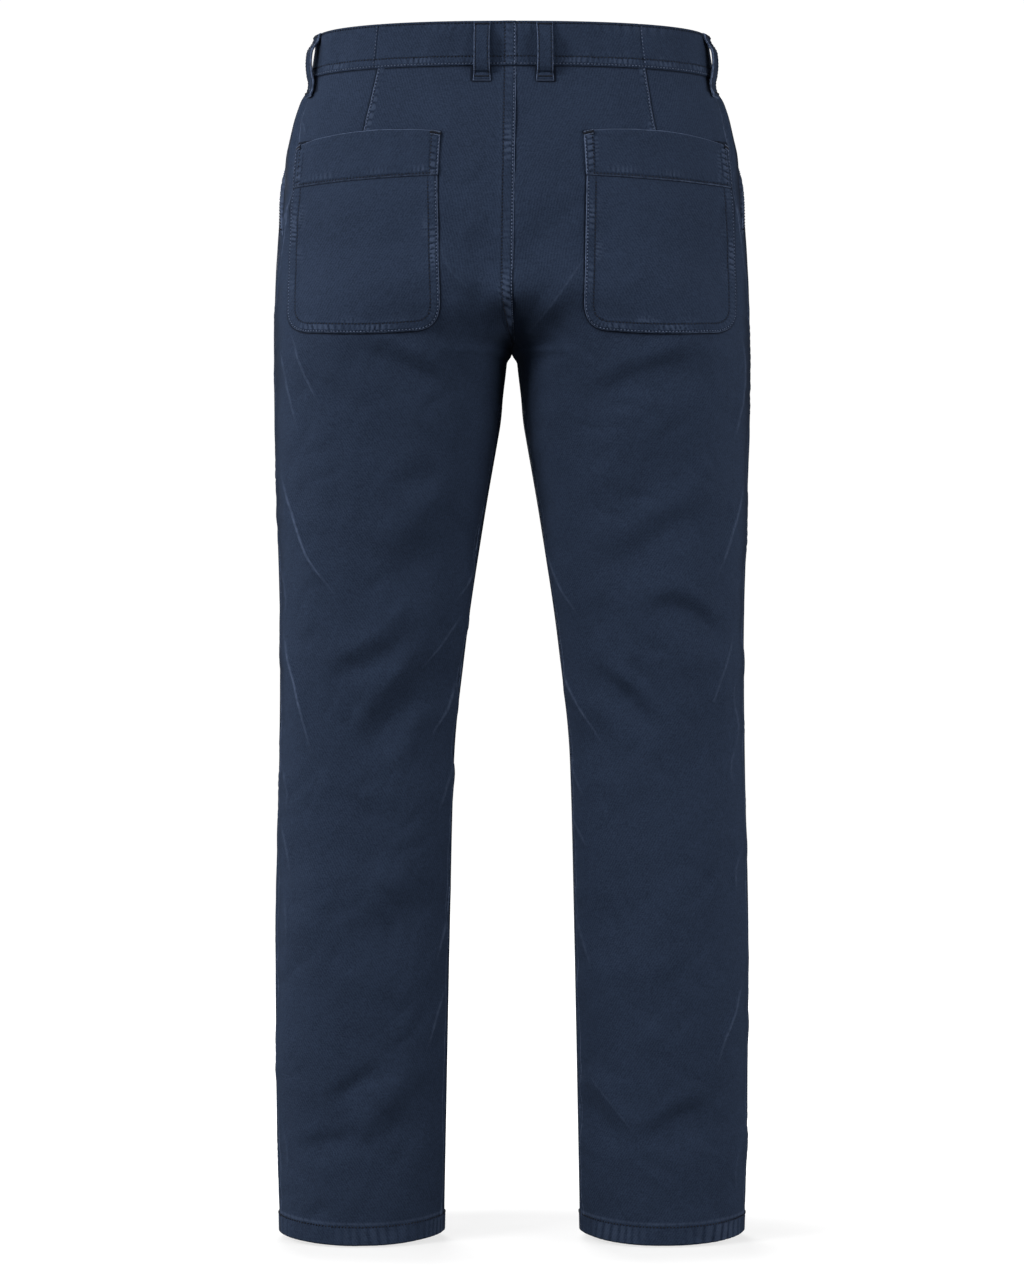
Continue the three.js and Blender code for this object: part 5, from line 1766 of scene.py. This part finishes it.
# softboxes: place and size in metres, and share of the key light's power
STUDIO_LIGHTS = (
    ("key_softbox", (2.7, 1.9, 1.3), 1.2, 0.79),
    ("upper_softbox", (1.4, 2.6, 2.4), 1.2, 0.25),
    ("low_softbox", (0.5, 3.0, -1.0), 1.2, 0.09),
    ("fill_softbox", (-2.4, 1.6, -0.1), 1.6, 0.37),
    ("left_edge_softbox", (2.8, -0.3, -0.2), 1.6, 0.27),
    ("right_edge_softbox", (-2.8, -0.3, -0.2), 1.6, 0.16),
    ("front_softbox", (0.6, -3.0, 1.3), 1.6, 0.95),
)


def build_stage():
    """Pale floor and backdrop, one soft key light, and the camera behind the garment."""
    scene = bpy.context.scene
    bpy.ops.object.select_all(action="DESELECT")
    bpy.ops.mesh.primitive_plane_add(size=24, location=(0, 0, HEM * MM - 0.0015))
    floor = bpy.context.object
    floor.name = "studio_floor"
    floor.data.materials.append(matt_paper("white_floor_paper", 0.28))
    bpy.ops.object.select_all(action="DESELECT")
    bpy.ops.mesh.primitive_uv_sphere_add(segments=48, ring_count=24, radius=14)
    dome = bpy.context.object
    dome.name = "studio_backdrop"
    dome.data.materials.append(matt_paper("white_backdrop_paper", 0.0))
    for paper in (floor, dome):
        paper.visible_diffuse = False
        paper.visible_glossy = False
    dome.visible_shadow = False

    world = bpy.data.worlds.new("soft_room")
    world.use_nodes = True
    background = world.node_tree.nodes["Background"]
    background.inputs[0].default_value = (1, 1, 1, 1)
    background.inputs[1].default_value = scene.trousers.room_light
    scene.world = world
    for name, place, size, power in STUDIO_LIGHTS:
        data = bpy.data.lights.new(name, "AREA")
        data.size, data.energy = size, power * scene.trousers.key_light
        light = bpy.data.objects.new(name, data)
        scene.collection.objects.link(light)
        light.location = place
        aim = mathutils.Vector((0, 0, -0.45)) - light.location
        light.rotation_euler = aim.to_track_quat("-Z", "Y").to_euler()

    camera_data = bpy.data.cameras.new("camera")
    camera_data.lens = 96.98
    camera_data.sensor_width = 36
    camera = bpy.data.objects.new("camera", camera_data)
    scene.collection.objects.link(camera)
    camera.location = (0, CAMERA_AWAY, CAMERA_HEIGHT)
    camera.rotation_euler = (math.pi / 2, 0, math.pi)
    scene.camera = camera
    scene.view_settings.view_transform = "Standard"


# ---------------------------------------------------------------- add-on

class TrousersSettings(bpy.types.PropertyGroup):
    """What a user may change before building."""
    cloth_colour: FloatVectorProperty(
        name="Cloth", description="Washed twill, where it is palest",
        subtype="COLOR", min=0, max=1, default=hex_colour("#323f56"))
    shade_colour: FloatVectorProperty(
        name="Dye", description="Twill where the dye took more",
        subtype="COLOR", min=0, max=1, default=hex_colour("#242e40"))
    # painted shade: the colour that darkens stitch rows, valleys of gathers, cloth beside upper layers
    # and edges seen edge-on
    painted_shade_colour: FloatVectorProperty(
        name="Stitch hollow", description="Cloth pulled in under a stitch row",
        subtype="COLOR", min=0, max=1, default=hex_colour("#121824"))
    worn_colour: FloatVectorProperty(
        name="Rubbed edge", description="Twill rubbed pale on edges and crests",
        subtype="COLOR", min=0, max=1, default=hex_colour("#6d7d9c"))
    thread_colour: FloatVectorProperty(
        name="Thread", description="Sewing thread",
        subtype="COLOR", min=0, max=1, default=hex_colour("#151b28"))
    button_colour: FloatVectorProperty(
        name="Button", description="Moulded button",
        subtype="COLOR", min=0, max=1, default=hex_colour("#1d2128"))
    fold_depth: FloatProperty(
        name="Fold depth", description="Depth of all folds, as a share of their own",
        subtype="FACTOR", min=0, max=2, default=0.95)
    stitch_pitch: FloatProperty(
        name="Stitch pitch", description="Distance from one stitch to the next",
        unit="LENGTH", min=0.001, default=3.1 * MM)
    thread_width: FloatProperty(
        name="Thread width", description="Half the width of a sewn thread",
        unit="LENGTH", min=0.0001, default=0.7 * MM)
    loop_width: FloatProperty(
        name="Belt loop width", description="Width of a belt loop at its top",
        unit="LENGTH", min=0.005, default=15.4 * MM)
    room_light: FloatProperty(
        name="Room light", description="Strength of the even light", min=0, default=0.05)
    key_light: FloatProperty(
        name="Key light", description="Power of the softbox",
        unit="POWER", min=0, default=100.0)


class TROUSERS_OT_back_panels(bpy.types.Operator):
    """Back panels, from waistband to hem"""
    bl_idname = "trousers.back_panels"
    bl_label = "Back panels"

    def execute(self, context):
        build_panels("back")
        return {"FINISHED"}


class TROUSERS_OT_front_panels(bpy.types.Operator):
    """Front panels, with their slanted pocket mouths and the fly's rows"""
    bl_idname = "trousers.front_panels"
    bl_label = "Front panels"

    def execute(self, context):
        build_panels("front")
        return {"FINISHED"}


class TROUSERS_OT_hems(bpy.types.Operator):
    """Turned-up hems"""
    bl_idname = "trousers.hems"
    bl_label = "Hems"

    def execute(self, context):
        build_hems()
        return {"FINISHED"}


class TROUSERS_OT_darts(bpy.types.Operator):
    """Darts over the seat pockets"""
    bl_idname = "trousers.darts"
    bl_label = "Darts"

    def execute(self, context):
        build_darts()
        return {"FINISHED"}


class TROUSERS_OT_seat_pockets(bpy.types.Operator):
    """Patch pockets on the seat, with the bands across their tops"""
    bl_idname = "trousers.seat_pockets"
    bl_label = "Seat pockets"

    def execute(self, context):
        build_seat_pockets()
        return {"FINISHED"}


class TROUSERS_OT_waistband(bpy.types.Operator):
    """Waistband in four pieces, lapped left over right"""
    bl_idname = "trousers.waistband"
    bl_label = "Waistband"

    def execute(self, context):
        build_waistband()
        return {"FINISHED"}


class TROUSERS_OT_belt_loops(bpy.types.Operator):
    """Six belt loops with tacked ends"""
    bl_idname = "trousers.belt_loops"
    bl_label = "Belt loops"

    def execute(self, context):
        build_belt_loops()
        return {"FINISHED"}


class TROUSERS_OT_front_openings(bpy.types.Operator):
    """Facings inside the front pockets, and the strip behind the fly"""
    bl_idname = "trousers.front_openings"
    bl_label = "Pocket facings and fly"

    def execute(self, context):
        build_front_openings()
        return {"FINISHED"}


class TROUSERS_OT_button(bpy.types.Operator):
    """Waist button, its thread and its buttonhole"""
    bl_idname = "trousers.button"
    bl_label = "Waist button"

    def execute(self, context):
        build_button()
        return {"FINISHED"}


class TROUSERS_OT_stage(bpy.types.Operator):
    """Floor, backdrop, lights and camera"""
    bl_idname = "trousers.stage"
    bl_label = "Stage"

    def execute(self, context):
        build_stage()
        return {"FINISHED"}


OPERATORS = (
    TROUSERS_OT_back_panels, TROUSERS_OT_front_panels, TROUSERS_OT_hems, TROUSERS_OT_darts,
    TROUSERS_OT_seat_pockets, TROUSERS_OT_waistband, TROUSERS_OT_belt_loops,
    TROUSERS_OT_front_openings, TROUSERS_OT_button, TROUSERS_OT_stage,
)


class TROUSERS_PT_sidebar(bpy.types.Panel):
    """Lists the building steps"""
    bl_label = "Utility trousers"
    bl_idname = "TROUSERS_PT_sidebar"
    bl_space_type = "VIEW_3D"
    bl_region_type = "UI"
    bl_category = "Trousers"

    def draw(self, context):
        for name in TrousersSettings.__annotations__:
            self.layout.prop(context.scene.trousers, name)
        for operator in OPERATORS:
            self.layout.operator(operator.bl_idname)


def register():
    """Adds the settings, the steps and their panel."""
    for item in (TrousersSettings, *OPERATORS, TROUSERS_PT_sidebar):
        bpy.utils.register_class(item)
    bpy.types.Scene.trousers = PointerProperty(type=TrousersSettings)


def unregister():
    """Takes them away again."""
    del bpy.types.Scene.trousers
    for item in (TROUSERS_PT_sidebar, *reversed(OPERATORS), TrousersSettings):
        bpy.utils.unregister_class(item)


def main():
    """Builds everything."""
    register()
    for operator in OPERATORS:
        group, name = operator.bl_idname.split(".")
        getattr(getattr(bpy.ops, group), name)()
    bpy.context.view_layer.update()


if __name__ == "__main__":
    main()
